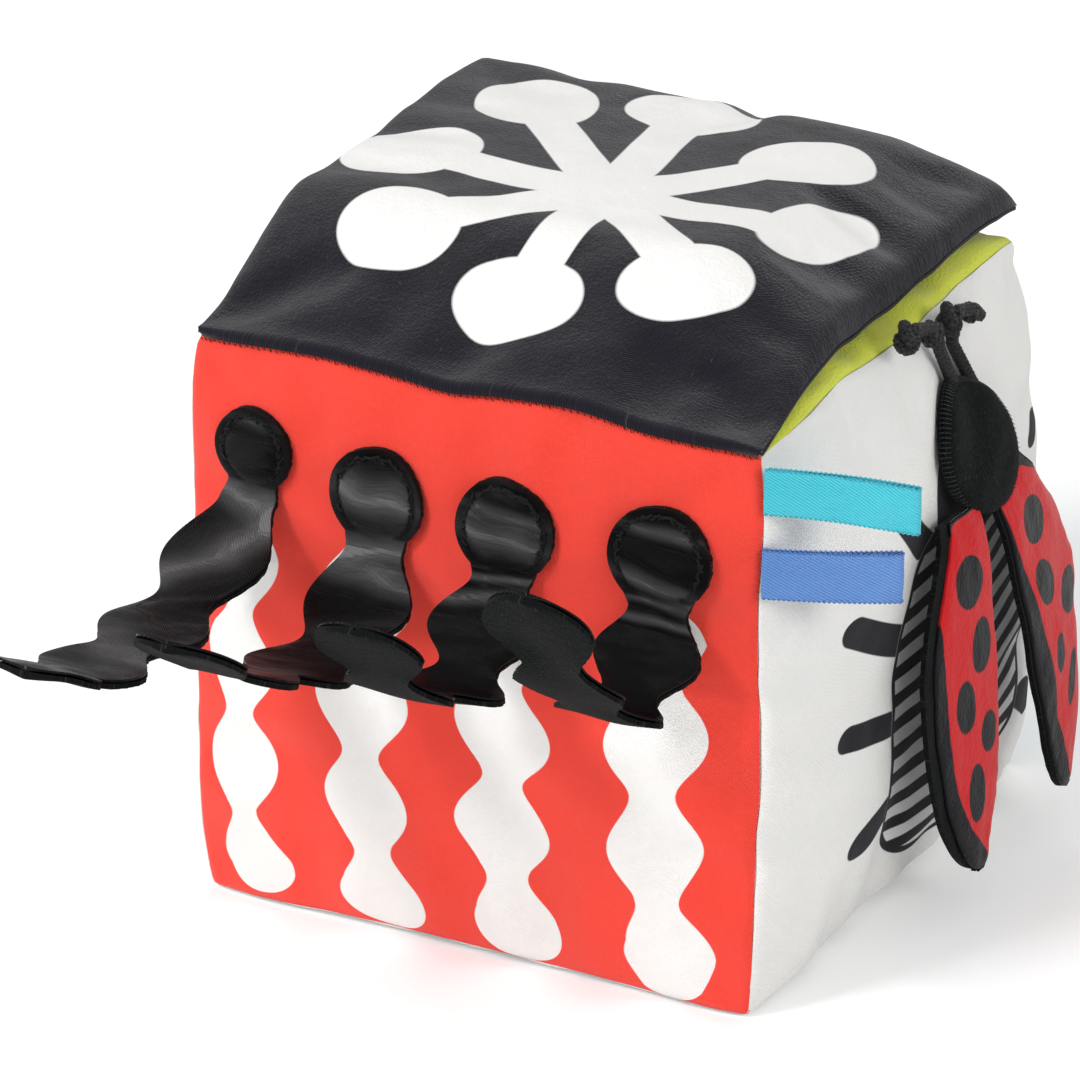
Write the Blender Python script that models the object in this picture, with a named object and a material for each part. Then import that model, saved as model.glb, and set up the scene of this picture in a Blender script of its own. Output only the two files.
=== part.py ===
"""Soft fabric block for a baby.

A foam cube in six sewn fabric panels. The front carries four wavy satin strips that hang from
round sewn heads, the front right seam holds two folded ribbon tags, the right side carries a
ladybird with a padded felt head, two cord feelers and two lift-up wings, and a padded flap is
sewn along the top front edge.

Metres, +Z up, +X to the right along the front, +Y to the back. The origin is the middle of the
bottom, which lies on z = 0. A moving piece has its origin on its joint's axis.
"""

import math

import bpy
import bmesh
from mathutils import Vector

# Block: the outer corners of the seams, how far each panel swells, and how the seams draw in
BLOCK_WIDTH = 0.152
BLOCK_DEPTH = 0.151
BLOCK_HEIGHT = 0.1486
CROWN_FRONT = 0.0045
CROWN_RIGHT = 0.0060
CROWN_LEFT = 0.0050
CROWN_BACK = 0.0040
CROWN_TOP = 0.0045
CROWN_BOTTOM = 0.0
SEAM_DRAW = 0.0015
BACK_SPREAD = 0.0060
BACK_BULGE = 0.0040
BACK_TUCK = 0.0050
FRONT_SAG = 0.0025
PANEL_CLOTH = 0.0014
SEAM_GAP_ALONG = 0.00022
CLEARANCE = 0.0003
WELD_DISTANCE = 0.00001
CROWN_POWER = 3.0
DRAW_START_SHARE = 0.62
SPREAD_TOP_SHARE = 0.80
SPREAD_FULL_SHARE = 0.55
TUCK_START_SHARE = 0.74
SAG_START_SHARE = 0.70
SAG_SIDE_START_SHARE = -0.9
SAG_SIDE_FULL_SHARE = -0.1
SAG_BACK_SHARE = 0.3
GRID_SHARES = (-1.0, -0.93, -0.76, -0.52, -0.26, 0.0, 0.26, 0.52, 0.76, 0.93, 1.0)

# Front strips: beads in a row, a satin face on a felt back, curled away from the block
STRIP_COUNT = 4
FIRST_HEAD_X = -0.0548
HEAD_PITCH = 0.0356
HEAD_HEIGHT = 0.1163
BEAD_RADIUS = 0.0133
BEAD_PITCH = 0.0255
NECK_HALF_WIDTH = 0.0073
SATIN_SHEET = 0.0005
FELT_SHEET = 0.0011
HEAD_SEGMENTS = 18
TAIL_STATIONS = 30
HEAD_CHORD_SHARE = 0.76
TIP_WIDTH_SHARE = 0.3
STRIP_HINGE_GAP = 0.0005
BEADS_PER_STRIP = 5
HEAD_RING_SHARES = (0.5, 1.0)

# Where each strip's second to fifth bead lies: (out from the head, down from the head), as
# shares of the bead pitch
CURL_SHARES = (
    ((0.71, 0.79), (1.82, 0.97), (2.89, 0.92), (3.63, 0.61)),
    ((0.36, 0.91), (1.45, 1.09), (2.43, 0.72), (3.31, 0.18)),
    ((0.46, 0.80), (0.99, 1.15), (1.96, 0.73), (2.49, 0.13)),
    ((0.24, 0.86), (0.97, 1.09), (1.74, 0.52), (2.31, -0.27)),
)
HEAD_SIZE_SHARES = (0.78, 0.93, 0.94, 0.96)
HEAD_SHIFT_SHARES = (0.0, -0.15, -0.27, 0.0)
HEAD_LIFT_SHARES = (0.14, 0.01, -0.01, 0.01)

# Ribbon tags in the front right seam
RIBBON_SHEET = 0.0004
RIBBON_LAYER_GAP = 0.0010
RIBBON_FOLD_RADIUS = 0.0010
RIBBON_SEAM_CLEARANCE = 0.0008
RIBBON_STATIONS = 9
FOLD_STATIONS = 6
TEAL_REACH = 0.0350
TEAL_SIDE = 0.0062
TEAL_WIDTH = 0.0120
TEAL_BELOW_TOP = 0.0118
TEAL_WAVE = 0.0012
BLUE_REACH = 0.0286
BLUE_SIDE = 0.0130
BLUE_WIDTH = 0.0130
BLUE_BELOW_TEAL = 0.0210
BLUE_WAVE = -0.0008

# Ladybird on the right side
LADYBIRD_Y = 0.0200
FACE_HEIGHT = 0.1145
FACE_HALF_WIDTH = 0.0175
FACE_HALF_HEIGHT = 0.0168
FACE_LIFT = 0.0024
FACE_SIDE_LIFT = 0.0010
FACE_LOWER_LIFT = 0.0015
FACE_FELT = 0.0011
FACE_FILL = 0.0016
FACE_RIM_FILL = 0.0002
FACE_SEGMENTS = 24
FACE_RING_SHARES = (0.45, 0.8, 1.0)

FEELER_RADIUS = 0.0019
FEELER_SIDES = 8
FEELER_FOOT_HEIGHT_SHARE = 1.03
FEELER_OFF_PANEL = 0.0026
FEELER_TOP_SHARE = 0.93
CORD_STATIONS = 4
KNOT_STATIONS = 8
KNOT_RADIUS = 0.0036
LEFT_FEELER_FOOT_Y = 0.0100
RIGHT_FEELER_FOOT_Y = 0.0170
LEFT_FEELER_LENGTH = 0.0165
RIGHT_FEELER_LENGTH = 0.0105
KNOT_LENGTH = 0.0120
LEFT_FEELER_LEAN = -33.0
LEFT_KNOT_LEAN = -62.0
RIGHT_FEELER_LEAN = -10.0
RIGHT_KNOT_LEAN = 75.0

WING_LENGTH = 0.0870
WING_WIDTH = 0.0355
WING_FELT = 0.0011
WING_SATIN = 0.0005
WING_FILL = 0.0014
WING_RIM_FILL = 0.0002
WING_ROOT_OFF_PANEL = 0.0055
WING_STATIONS = 13
WING_ACROSS = 4
WING_TIP_SHARE = 0.26
WING_MEDIAL_SHARE = 0.74
WING_BOW_POWER = 0.6
WING_BOW_START_SHARE = 0.01
WING_END_SHARE = 0.985
WING_STEP_SHARE = 0.01
WING_ROW_POWER = 1.35
LEFT_WING_ROOT_SHARE = 0.52
LEFT_WING_WIDEST_SHARE = 0.42
LEFT_WING_BOW = 0.0106
LEFT_WING_LEAN = 1.5
LEFT_WING_TURN = 2.2
LEFT_WING_ROOT_Y = 0.0180
LEFT_WING_BELOW_FACE = 0.0005
RIGHT_WING_ROOT_SHARE = 0.68
RIGHT_WING_WIDEST_SHARE = 0.28
RIGHT_WING_BOW = 0.0126
RIGHT_WING_LEAN = 10.0
RIGHT_WING_TURN = 8.0
RIGHT_WING_ROOT_Y = 0.0225
RIGHT_WING_BELOW_FACE = 0.0012

# Top flap: sewn along the front, free at the sides and the back
FLAP_HALF_WIDTH = 0.0750
FLAP_FRONT_Y = -0.0745
FLAP_BACK_Y = 0.0755
FLAP_PUFF = 0.0170
FLAP_RIGHT_PUFF = 0.0075
FLAP_COVER = 0.0010
FLAP_LINING = 0.0008
FLAP_LIFT = 0.0030
FLAP_SIDE_ROLL_SHARE = 0.92
FLAP_BACK_ROLL_SHARE = 0.96
FLAP_RIGHT_FALL_SHARE = 0.78
FLAP_RIGHT_DRAW = 0.0045
FLAP_RIGHT_LIFT = 0.0015
FLAP_RISE_SHARE = 0.36
FLAP_LIFT_START_SHARE = 0.8
FLAP_CORNER_FALL_SHARE = 0.08
FLAP_EDGE_SHARE = 0.4
FLAP_REST = 0.00045
FLAP_HINGE_HEIGHT = 0.0009
FLAP_GRID_SHARES = (0.0, 0.012, 0.04, 0.1, 0.2, 0.35, 0.5, 0.65, 0.8, 0.9, 0.96, 0.988, 1.0)
WADDING_EDGE = 0.0012
WADDING_REST = 0.0002
FLAP_WADDING_EDGE = 0.0030
FLAP_WADDING_FRONT = 0.0080


def clear_scene():
    for old in list(bpy.data.objects):
        bpy.data.objects.remove(old, do_unlink=True)


def make_material(name, colour, roughness):
    material = bpy.data.materials.new(name)
    material.use_nodes = True
    shader = material.node_tree.nodes["Principled BSDF"]
    shader.inputs["Base Color"].default_value = (*colour, 1.0)
    shader.inputs["Roughness"].default_value = roughness
    shader.inputs["Metallic"].default_value = 0.0
    return material


def add_piece(name, points, faces, material, origin=(0.0, 0.0, 0.0), weld=False, smooth=40.0):
    """One closed solid from points in world metres, with its object origin at the given place."""
    start = Vector(origin)
    mesh = bpy.data.meshes.new(name)
    mesh.from_pydata([tuple(Vector(p) - start) for p in points], [], faces)
    shell = bmesh.new()
    shell.from_mesh(mesh)
    if weld:
        bmesh.ops.remove_doubles(shell, verts=shell.verts, dist=WELD_DISTANCE)
    bmesh.ops.triangulate(shell, faces=shell.faces)
    bmesh.ops.recalc_face_normals(shell, faces=shell.faces)
    if shell.calc_volume(signed=True) < 0.0:
        bmesh.ops.reverse_faces(shell, faces=shell.faces)
    shell.to_mesh(mesh)
    shell.free()
    mesh.shade_smooth()
    mesh.set_sharp_from_angle(angle=math.radians(smooth))
    mesh.materials.append(material)
    piece = bpy.data.objects.new(name, mesh)
    piece.location = start
    bpy.context.scene.collection.objects.link(piece)
    return piece


def grid_faces(rows, columns, start=0, flip=False):
    faces = []
    for r in range(rows - 1):
        for c in range(columns - 1):
            a = start + r * columns + c
            quad = (a, a + 1, a + columns + 1, a + columns)
            faces.append(tuple(reversed(quad)) if flip else quad)
    return faces


def rim_loop(rows, columns):
    """The edge of a grid of points, once round."""
    loop = list(range(columns))
    loop += [r * columns + columns - 1 for r in range(1, rows)]
    loop += [(rows - 1) * columns + c for c in range(columns - 2, -1, -1)]
    loop += [r * columns for r in range(rows - 2, 0, -1)]
    return loop


def layer_solid(top, bottom, rows, columns):
    """Two matching grids of points, closed round their edge."""
    points = list(top) + list(bottom)
    offset = len(top)
    faces = grid_faces(rows, columns) + grid_faces(rows, columns, offset, flip=True)
    loop = rim_loop(rows, columns)
    for k, a in enumerate(loop):
        b = loop[(k + 1) % len(loop)]
        faces.append((b, a, a + offset, b + offset))
    return points, faces


def fan_solid(outline, ring_shares, place, low, high):
    """A flat outline as a sheet: place(a, b, depth) sets it on a surface, from low to high.

    low and high are functions of the share of the way from the middle to the outline.
    """
    points = []
    count = len(outline)
    for depth in (high, low):
        points.append(place(0.0, 0.0, depth(0.0)))
        for share in ring_shares:
            points += [place(a * share, b * share, depth(share)) for a, b in outline]
    layer = 1 + count * len(ring_shares)
    faces = []
    for side in (0, 1):
        base = side * layer
        for k in range(count):
            n = (k + 1) % count
            faces.append((base, base + 1 + k, base + 1 + n))
            for ring in range(len(ring_shares) - 1):
                inner = base + 1 + ring * count
                outer = inner + count
                faces.append((inner + k, outer + k, outer + n, inner + n))
    rim = 1 + (len(ring_shares) - 1) * count
    for k in range(count):
        n = (k + 1) % count
        faces.append((rim + k, rim + n, layer + rim + n, layer + rim + k))
    return points, faces


def smooth_step(value):
    value = min(max(value, 0.0), 1.0)
    return value * value * (3.0 - 2.0 * value)


# Block panels
HALF = (BLOCK_WIDTH / 2, BLOCK_DEPTH / 2, BLOCK_HEIGHT / 2)
PANELS = {
    "front_panel": ("y", "low", "x", "z", CROWN_FRONT),
    "back_panel": ("y", "high", "x", "z", CROWN_BACK),
    "right_panel": ("x", "high", "y", "z", CROWN_RIGHT),
    "left_panel": ("x", "low", "y", "z", CROWN_LEFT),
    "top_panel": ("z", "high", "x", "y", CROWN_TOP),
    "bottom_panel": ("z", "low", "x", "y", CROWN_BOTTOM),
}


def crown_share(u):
    return 1.0 - abs(u) ** CROWN_POWER


def pull_share(u):
    return (max(0.0, abs(u) - DRAW_START_SHARE) / (1.0 - DRAW_START_SHARE)) ** 2


def front_sag(x, y):
    """How far the top front edge sinks: not at its left end, fully from the middle to the right."""
    side = (x / HALF[0] - SAG_SIDE_START_SHARE) / (SAG_SIDE_FULL_SHARE - SAG_SIDE_START_SHARE)
    front = (-y / HALF[1] - SAG_BACK_SHARE) / (1.0 - SAG_BACK_SHARE)
    return FRONT_SAG * smooth_step(side) * smooth_step(front)


def settle(point):
    """The foam spreads the back outwards low down, its top edge tucks in and the front edge sinks."""
    x, y, z = point
    height = z / BLOCK_HEIGHT
    back = max(0.0, y / HALF[1])
    spread = BACK_SPREAD * smooth_step((SPREAD_TOP_SHARE - height) / (SPREAD_TOP_SHARE - SPREAD_FULL_SHARE))
    spread += BACK_BULGE * math.sin(math.pi * min(1.0, max(0.0, height)))
    tuck = BACK_TUCK * smooth_step((height - TUCK_START_SHARE) / (1.0 - TUCK_START_SHARE))
    sag = front_sag(x, y) * smooth_step((height - SAG_START_SHARE) / (1.0 - SAG_START_SHARE))
    return Vector((x, y + back * (spread - tuck), z - sag))


def panel_point(name, u, v, depth=0.0, side_gap=0.0):
    """A point of a panel: u and v run from seam to seam, depth goes in from its outer face."""
    facing, end, *along, crown = PANELS[name]
    normal, first, second = ("xyz".index(axis) for axis in (facing, *along))
    sign = 1.0 if end == "high" else -1.0
    draw_u = SEAM_DRAW * (1.0 - u * u)
    draw_v = SEAM_DRAW * (1.0 - v * v)
    out = HALF[normal] - depth + crown * crown_share(u) * crown_share(v)
    out -= draw_v * pull_share(u) + draw_u * pull_share(v)
    point = [0.0, 0.0, 0.0]
    point[normal] = sign * out
    point[first] = u * (HALF[first] - depth - side_gap) - math.copysign(draw_v * pull_share(u), u)
    point[second] = v * (HALF[second] - depth - side_gap) - math.copysign(draw_u * pull_share(v), v)
    point[2] += HALF[2]
    return settle(point)


def panel_grid(name, depth, side_gap):
    return [panel_point(name, u, v, depth, side_gap) for v in GRID_SHARES for u in GRID_SHARES]


def front_y(x, z):
    return panel_point("front_panel", x / HALF[0], (z - HALF[2]) / HALF[2]).y


def right_x(y, z):
    return panel_point("right_panel", y / HALF[1], (z - HALF[2]) / HALF[2]).x


def make_panels():
    finishes = {
        "front_panel": make_material("red_fabric", (0.80, 0.055, 0.04), 0.8),
        "back_panel": make_material("teal_fabric", (0.02, 0.22, 0.24), 0.8),
        "right_panel": make_material("white_fabric", (0.74, 0.74, 0.72), 0.8),
        "left_panel": make_material("left_white_fabric", (0.74, 0.74, 0.72), 0.8),
        "top_panel": make_material("lime_fabric", (0.50, 0.56, 0.07), 0.8),
        "bottom_panel": make_material("base_white_fabric", (0.70, 0.70, 0.69), 0.8),
    }
    count = len(GRID_SHARES)
    for name, material in finishes.items():
        outer = panel_grid(name, 0.0, SEAM_GAP_ALONG)
        inner = panel_grid(name, PANEL_CLOTH, SEAM_GAP_ALONG)
        points, faces = layer_solid(outer, inner, count, count)
        add_piece(name, points, faces, material)


def make_foam_core():
    """One sealed cube of foam that fills the six panels."""
    depth = PANEL_CLOTH + CLEARANCE
    count = len(GRID_SHARES)
    points = []
    faces = []
    for name in PANELS:
        faces += grid_faces(count, count, len(points))
        points += panel_grid(name, depth, 0.0)
    material = make_material("white_foam", (0.80, 0.79, 0.74), 0.9)
    add_piece("foam_core", points, faces, material, weld=True)


# Front strips
def head_radius(index):
    return BEAD_RADIUS * HEAD_SIZE_SHARES[index]


def hinge_place(index):
    """Where the tail bends, in beads from the middle of the head: at the head's straight lower edge."""
    return head_radius(index) * HEAD_CHORD_SHARE / BEAD_PITCH


def strip_half_width(index, t):
    """Half the width of a strip's tail, t counted in beads from the middle of the head."""
    last = BEADS_PER_STRIP - 1
    if t > last:
        past = (t - last) * BEAD_PITCH / BEAD_RADIUS
        return BEAD_RADIUS * math.sqrt(max(0.0, 1.0 - past * past))
    if t < 0.5:
        start = hinge_place(index)
        chord = head_radius(index) * math.sqrt(1.0 - HEAD_CHORD_SHARE ** 2)
        return chord + (NECK_HALF_WIDTH - chord) * smooth_step((t - start) / (0.5 - start))
    swell = math.cos(math.pi * t) ** 2
    return math.sqrt(NECK_HALF_WIDTH ** 2 + (BEAD_RADIUS ** 2 - NECK_HALF_WIDTH ** 2) * swell)


def head_centre(index):
    x = FIRST_HEAD_X + index * HEAD_PITCH + HEAD_SHIFT_SHARES[index] * BEAD_RADIUS
    z = HEAD_HEIGHT + HEAD_LIFT_SHARES[index] * BEAD_PITCH
    return x, z


def strip_knots(index):
    """The strip's middle line in the Y-Z plane: (t, y, z) at its head, neck, beads and tip."""
    x, z = head_centre(index)
    off = CLEARANCE + FELT_SHEET + CLEARANCE / 2
    y = front_y(x, z) - off
    bend = hinge_place(index)
    neck_z = z - bend * BEAD_PITCH
    neck_y = front_y(x, neck_z) - off
    knots = [(0.0, y, z), (bend, neck_y, neck_z)]
    for bead, (out, down) in enumerate(CURL_SHARES[index], start=1):
        knots.append((float(bead), y - out * BEAD_PITCH, z - down * BEAD_PITCH))
    (t1, y1, z1), (t2, y2, z2) = knots[-2:]
    end = BEAD_RADIUS / BEAD_PITCH
    knots.append((t2 + end, y2 + (y2 - y1) * end, z2 + (z2 - z1) * end))
    return knots


def strip_line(knots, t):
    """A smooth curve through the knots: the point and its direction at t.

    It leaves the sewn head along the panel, and only then curls.
    """
    def slope(k, axis):
        before = knots[max(k - 1, 0)]
        after = knots[1] if k == 1 else knots[min(k + 1, len(knots) - 1)]
        return (after[axis] - before[axis]) / (after[0] - before[0])

    k = 0
    while k < len(knots) - 2 and t > knots[k + 1][0]:
        k += 1
    a, b = knots[k], knots[k + 1]
    span = b[0] - a[0]
    s = (t - a[0]) / span
    place = []
    heading = []
    for axis in (1, 2):
        m0, m1 = slope(k, axis) * span, slope(k + 1, axis) * span
        place.append((2 * s ** 3 - 3 * s ** 2 + 1) * a[axis] + (s ** 3 - 2 * s ** 2 + s) * m0
                     + (3 * s ** 2 - 2 * s ** 3) * b[axis] + (s ** 3 - s ** 2) * m1)
        heading.append((6 * s ** 2 - 6 * s) * a[axis] + (3 * s ** 2 - 4 * s + 1) * m0
                       + (6 * s - 6 * s ** 2) * b[axis] + (3 * s ** 2 - 2 * s) * m1)
    return place, Vector((0.0, heading[0], heading[1])).normalized()


def tail_layer(index, low, high):
    """One layer of a strip's tail, between two heights over its middle line."""
    x, _ = head_centre(index)
    knots = strip_knots(index)
    first = hinge_place(index) + STRIP_HINGE_GAP / BEAD_PITCH
    blunt = math.sqrt(1.0 - TIP_WIDTH_SHARE ** 2) * BEAD_RADIUS / BEAD_PITCH
    last = BEADS_PER_STRIP - 1 + blunt
    top = []
    bottom = []
    for k in range(TAIL_STATIONS):
        t = first + (last - first) * k / (TAIL_STATIONS - 1)
        (y, z), along = strip_line(knots, t)
        up = Vector((0.0, along.z, -along.y))
        half = strip_half_width(index, t)
        for side in (-1.0, 1.0):
            middle = Vector((x + side * half, y, z))
            top.append(middle + up * high)
            bottom.append(middle + up * low)
    return layer_solid(top, bottom, TAIL_STATIONS, 2)


def strip_hinge(index):
    """The sewn line under the head, on the satin side."""
    x, _ = head_centre(index)
    (y, z), along = strip_line(strip_knots(index), hinge_place(index))
    up = Vector((0.0, along.z, -along.y))
    return Vector((x, y, z)) + up * (CLEARANCE / 2 + SATIN_SHEET)


def head_outline(index):
    """A round head cut straight along the line where the tail bends."""
    radius = head_radius(index)
    low = math.asin(HEAD_CHORD_SHARE)
    sweep = math.pi + 2.0 * low
    arc = []
    for k in range(HEAD_SEGMENTS + 1):
        angle = -low + sweep * k / HEAD_SEGMENTS
        arc.append((radius * math.cos(angle), radius * math.sin(angle)))
    return arc


def make_strips():
    half_gap = CLEARANCE / 2
    for index in range(STRIP_COUNT):
        number = index + 1
        x0, z0 = head_centre(index)
        outline = head_outline(index)
        satin = make_material(f"satin_{number}", (0.012, 0.012, 0.014), 0.35)
        felt = make_material(f"felt_{number}", (0.016, 0.018, 0.018), 0.95)

        def on_front(a, b, depth):
            x, z = x0 + a, z0 + b
            return Vector((x, front_y(x, z) - depth, z))

        def felt_low(share):
            return CLEARANCE

        def felt_high(share):
            return CLEARANCE + FELT_SHEET

        def satin_low(share):
            return FELT_SHEET + 2 * CLEARANCE

        def satin_high(share):
            return FELT_SHEET + 2 * CLEARANCE + SATIN_SHEET

        points, faces = fan_solid(outline, HEAD_RING_SHARES, on_front, felt_low, felt_high)
        add_piece(f"strip_{number}_head_felt", points, faces, felt)
        points, faces = fan_solid(outline, HEAD_RING_SHARES, on_front, satin_low, satin_high)
        add_piece(f"strip_{number}_head_satin", points, faces, satin)

        hinge = strip_hinge(index)
        points, faces = tail_layer(index, -half_gap - FELT_SHEET, -half_gap)
        add_piece(f"strip_{number}_tail_felt", points, faces, felt, hinge)
        points, faces = tail_layer(index, half_gap, half_gap + SATIN_SHEET)
        add_piece(f"strip_{number}_tail_satin", points, faces, satin, hinge)


# Ribbon tags
def front_right_seam(z):
    return panel_point("front_panel", 1.0, (z - HALF[2]) / HALF[2])


def make_ribbon(name, colour, reach, side, width, height, wave):
    """A ribbon folded in two, its fold outwards and its cut ends in the seam."""
    seam = front_right_seam(height)
    start = Vector((seam.x + RIBBON_SEAM_CLEARANCE, seam.y, height))
    length = math.hypot(reach, side)
    along = Vector((reach / length, side / length, 0.0))
    across = Vector((-along.y, along.x, 0.0))
    near = RIBBON_LAYER_GAP / 2
    straight = length - RIBBON_FOLD_RADIUS - RIBBON_SHEET

    def bow(s):
        return wave * math.sin(math.pi * s)

    def spread(s):
        return near + (RIBBON_FOLD_RADIUS - near) * smooth_step(s)

    middle = []
    for k in range(RIBBON_STATIONS):
        s = k / (RIBBON_STATIONS - 1)
        middle.append(start + along * (straight * s) + across * (bow(s) - spread(s)))
    for k in range(1, FOLD_STATIONS):
        angle = -math.pi / 2 + math.pi * k / FOLD_STATIONS
        out = RIBBON_FOLD_RADIUS * math.cos(angle)
        middle.append(start + along * (straight + out) + across * (RIBBON_FOLD_RADIUS * math.sin(angle)))
    for k in range(RIBBON_STATIONS):
        s = 1.0 - k / (RIBBON_STATIONS - 1)
        middle.append(start + along * (straight * s) + across * (bow(s) + spread(s)))

    outer = []
    inner = []
    count = len(middle)
    for k, point in enumerate(middle):
        before = middle[max(k - 1, 0)]
        after = middle[min(k + 1, count - 1)]
        heading = (after - before).normalized()
        normal = Vector((heading.y, -heading.x, 0.0))
        for edge in (-width / 2, width / 2):
            lift = Vector((0.0, 0.0, edge))
            outer.append(point + normal * (RIBBON_SHEET / 2) + lift)
            inner.append(point - normal * (RIBBON_SHEET / 2) + lift)
    points, faces = layer_solid(outer, inner, count, 2)
    hinge = Vector((start.x, start.y, height))
    add_piece(name, points, faces, make_material(name, colour, 0.45), hinge)


def make_ribbons():
    teal_height = BLOCK_HEIGHT - TEAL_BELOW_TOP
    blue_height = teal_height - BLUE_BELOW_TEAL
    make_ribbon("ribbon_teal", (0.02, 0.48, 0.60), TEAL_REACH, TEAL_SIDE, TEAL_WIDTH, teal_height, TEAL_WAVE)
    make_ribbon("ribbon_blue", (0.08, 0.24, 0.62), BLUE_REACH, BLUE_SIDE, BLUE_WIDTH, blue_height, BLUE_WAVE)


# Ladybird
def on_right(a, b, depth):
    """A place on the face, which the wings under it push out at its lower back corner."""
    y, z = LADYBIRD_Y + a, FACE_HEIGHT + b
    lift = FACE_LIFT + FACE_SIDE_LIFT * a / FACE_HALF_WIDTH - FACE_LOWER_LIFT * b / FACE_HALF_HEIGHT
    return Vector((right_x(y, z) + lift + depth, y, z))


def face_fill(share):
    return FACE_RIM_FILL + FACE_FILL * math.sqrt(1.0 - (share * share) ** 2)


def make_ladybird_face():
    """Two felt ovals sewn edge to edge round a little wadding."""
    felt = make_material("face_felt", (0.014, 0.016, 0.016), 0.95)
    back_felt = make_material("face_back_felt", (0.014, 0.016, 0.016), 0.95)
    wadding = make_material("face_wadding", (0.8, 0.8, 0.78), 0.95)
    outline = []
    inner_outline = []
    for k in range(FACE_SEGMENTS):
        angle = 2.0 * math.pi * k / FACE_SEGMENTS
        outline.append((FACE_HALF_WIDTH * math.cos(angle), FACE_HALF_HEIGHT * math.sin(angle)))
        inner_outline.append(((FACE_HALF_WIDTH - WADDING_EDGE) * math.cos(angle),
                              (FACE_HALF_HEIGHT - WADDING_EDGE) * math.sin(angle)))
    back_top = CLEARANCE + FACE_FELT

    def back_low(share):
        return CLEARANCE

    def back_high(share):
        return back_top

    def fill_low(share):
        return back_top + CLEARANCE

    def fill_high(share):
        return back_top + CLEARANCE + face_fill(share)

    def front_low(share):
        return back_top + 2 * CLEARANCE + face_fill(share)

    def front_high(share):
        return front_low(share) + FACE_FELT

    points, faces = fan_solid(outline, FACE_RING_SHARES, on_right, back_low, back_high)
    add_piece("ladybird_head_back", points, faces, back_felt)
    points, faces = fan_solid(inner_outline, FACE_RING_SHARES, on_right, fill_low, fill_high)
    add_piece("ladybird_head_wadding", points, faces, wadding)
    points, faces = fan_solid(outline, FACE_RING_SHARES, on_right, front_low, front_high)
    add_piece("ladybird_head_front", points, faces, felt)


def feeler_radius(past):
    """Cord, then a knot of two lobes and a short cut end; past is the share of the knot's length."""
    if past <= 0.0:
        return FEELER_RADIUS
    q = min(past, 1.0)
    lobes = abs(math.sin(math.pi * min(q * 2.0, 2.0)))
    return FEELER_RADIUS * (1.0 - 0.5 * q) + (KNOT_RADIUS - FEELER_RADIUS) * lobes


def make_feeler(name, foot_y, length, lean, knot_lean):
    """A short cord that stands up the panel from behind the head's top edge, knotted at its end."""
    face_share = (foot_y - LADYBIRD_Y) / FACE_HALF_WIDTH
    rise = FACE_HALF_HEIGHT * math.sqrt(1.0 - face_share ** 2) * FEELER_FOOT_HEIGHT_SHARE
    foot_z = FACE_HEIGHT + rise + FEELER_RADIUS / 2
    stations = [length * k / CORD_STATIONS for k in range(CORD_STATIONS + 1)]
    stations += [length + KNOT_LENGTH * k / KNOT_STATIONS for k in range(1, KNOT_STATIONS + 1)]
    path = []
    y, z = foot_y, foot_z
    travelled = 0.0
    for distance in stations:
        step = distance - travelled
        travelled = distance
        turn = lean if distance <= length else knot_lean
        y += step * math.sin(math.radians(turn))
        z += step * math.cos(math.radians(turn))
        x = right_x(min(y, HALF[1]), min(z, BLOCK_HEIGHT * FEELER_TOP_SHARE)) + FEELER_OFF_PANEL
        grow = feeler_radius((distance - length) / KNOT_LENGTH) - FEELER_RADIUS
        path.append(Vector((x + max(0.0, grow), y, z)))
    rings = []
    for k, point in enumerate(path):
        heading = (path[min(k + 1, len(path) - 1)] - path[max(k - 1, 0)]).normalized()
        out = Vector((1.0, 0.0, 0.0))
        side = heading.cross(out).normalized()
        out = side.cross(heading).normalized()
        radius = feeler_radius((stations[k] - length) / KNOT_LENGTH)
        rings += [point + (out * math.cos(a) + side * math.sin(a)) * radius
                  for a in (2.0 * math.pi * j / FEELER_SIDES for j in range(FEELER_SIDES))]
    faces = []
    for k in range(len(path) - 1):
        for j in range(FEELER_SIDES):
            n = (j + 1) % FEELER_SIDES
            a = k * FEELER_SIDES
            faces.append((a + j, a + n, a + FEELER_SIDES + n, a + FEELER_SIDES + j))
    faces.append(tuple(range(FEELER_SIDES)))
    faces.append(tuple(range(len(rings) - FEELER_SIDES, len(rings))))
    add_piece(name, rings, faces, make_material(name, (0.012, 0.012, 0.013), 0.8), path[0])


def make_feelers():
    make_feeler("feeler_left", LEFT_FEELER_FOOT_Y, LEFT_FEELER_LENGTH, LEFT_FEELER_LEAN, LEFT_KNOT_LEAN)
    make_feeler("feeler_right", RIGHT_FEELER_FOOT_Y, RIGHT_FEELER_LENGTH, RIGHT_FEELER_LEAN,
                RIGHT_KNOT_LEAN)


def wing_edges(s, root_share, widest_share):
    """Where the inner and the outer edge of a wing lie across it, s from root to tip."""
    tip = WING_WIDTH * WING_TIP_SHARE
    if s < widest_share:
        outer = WING_WIDTH * (root_share + (1.0 - root_share) * math.sin(math.pi / 2 * s / widest_share))
    else:
        q = (s - widest_share) / (1.0 - widest_share)
        outer = tip + (WING_WIDTH - tip) * math.sqrt(max(0.0, 1.0 - q * q))
    q = max(0.0, (s - WING_MEDIAL_SHARE) / (1.0 - WING_MEDIAL_SHARE))
    inner = tip - tip * math.sqrt(max(0.0, 1.0 - q * q))
    return inner, outer


def wing_profile(s, bow):
    """How far a wing stands out and how far it hangs down at s."""
    start = WING_BOW_START_SHARE
    return bow * ((s + start) ** WING_BOW_POWER - start ** WING_BOW_POWER), s * WING_LENGTH


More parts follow.
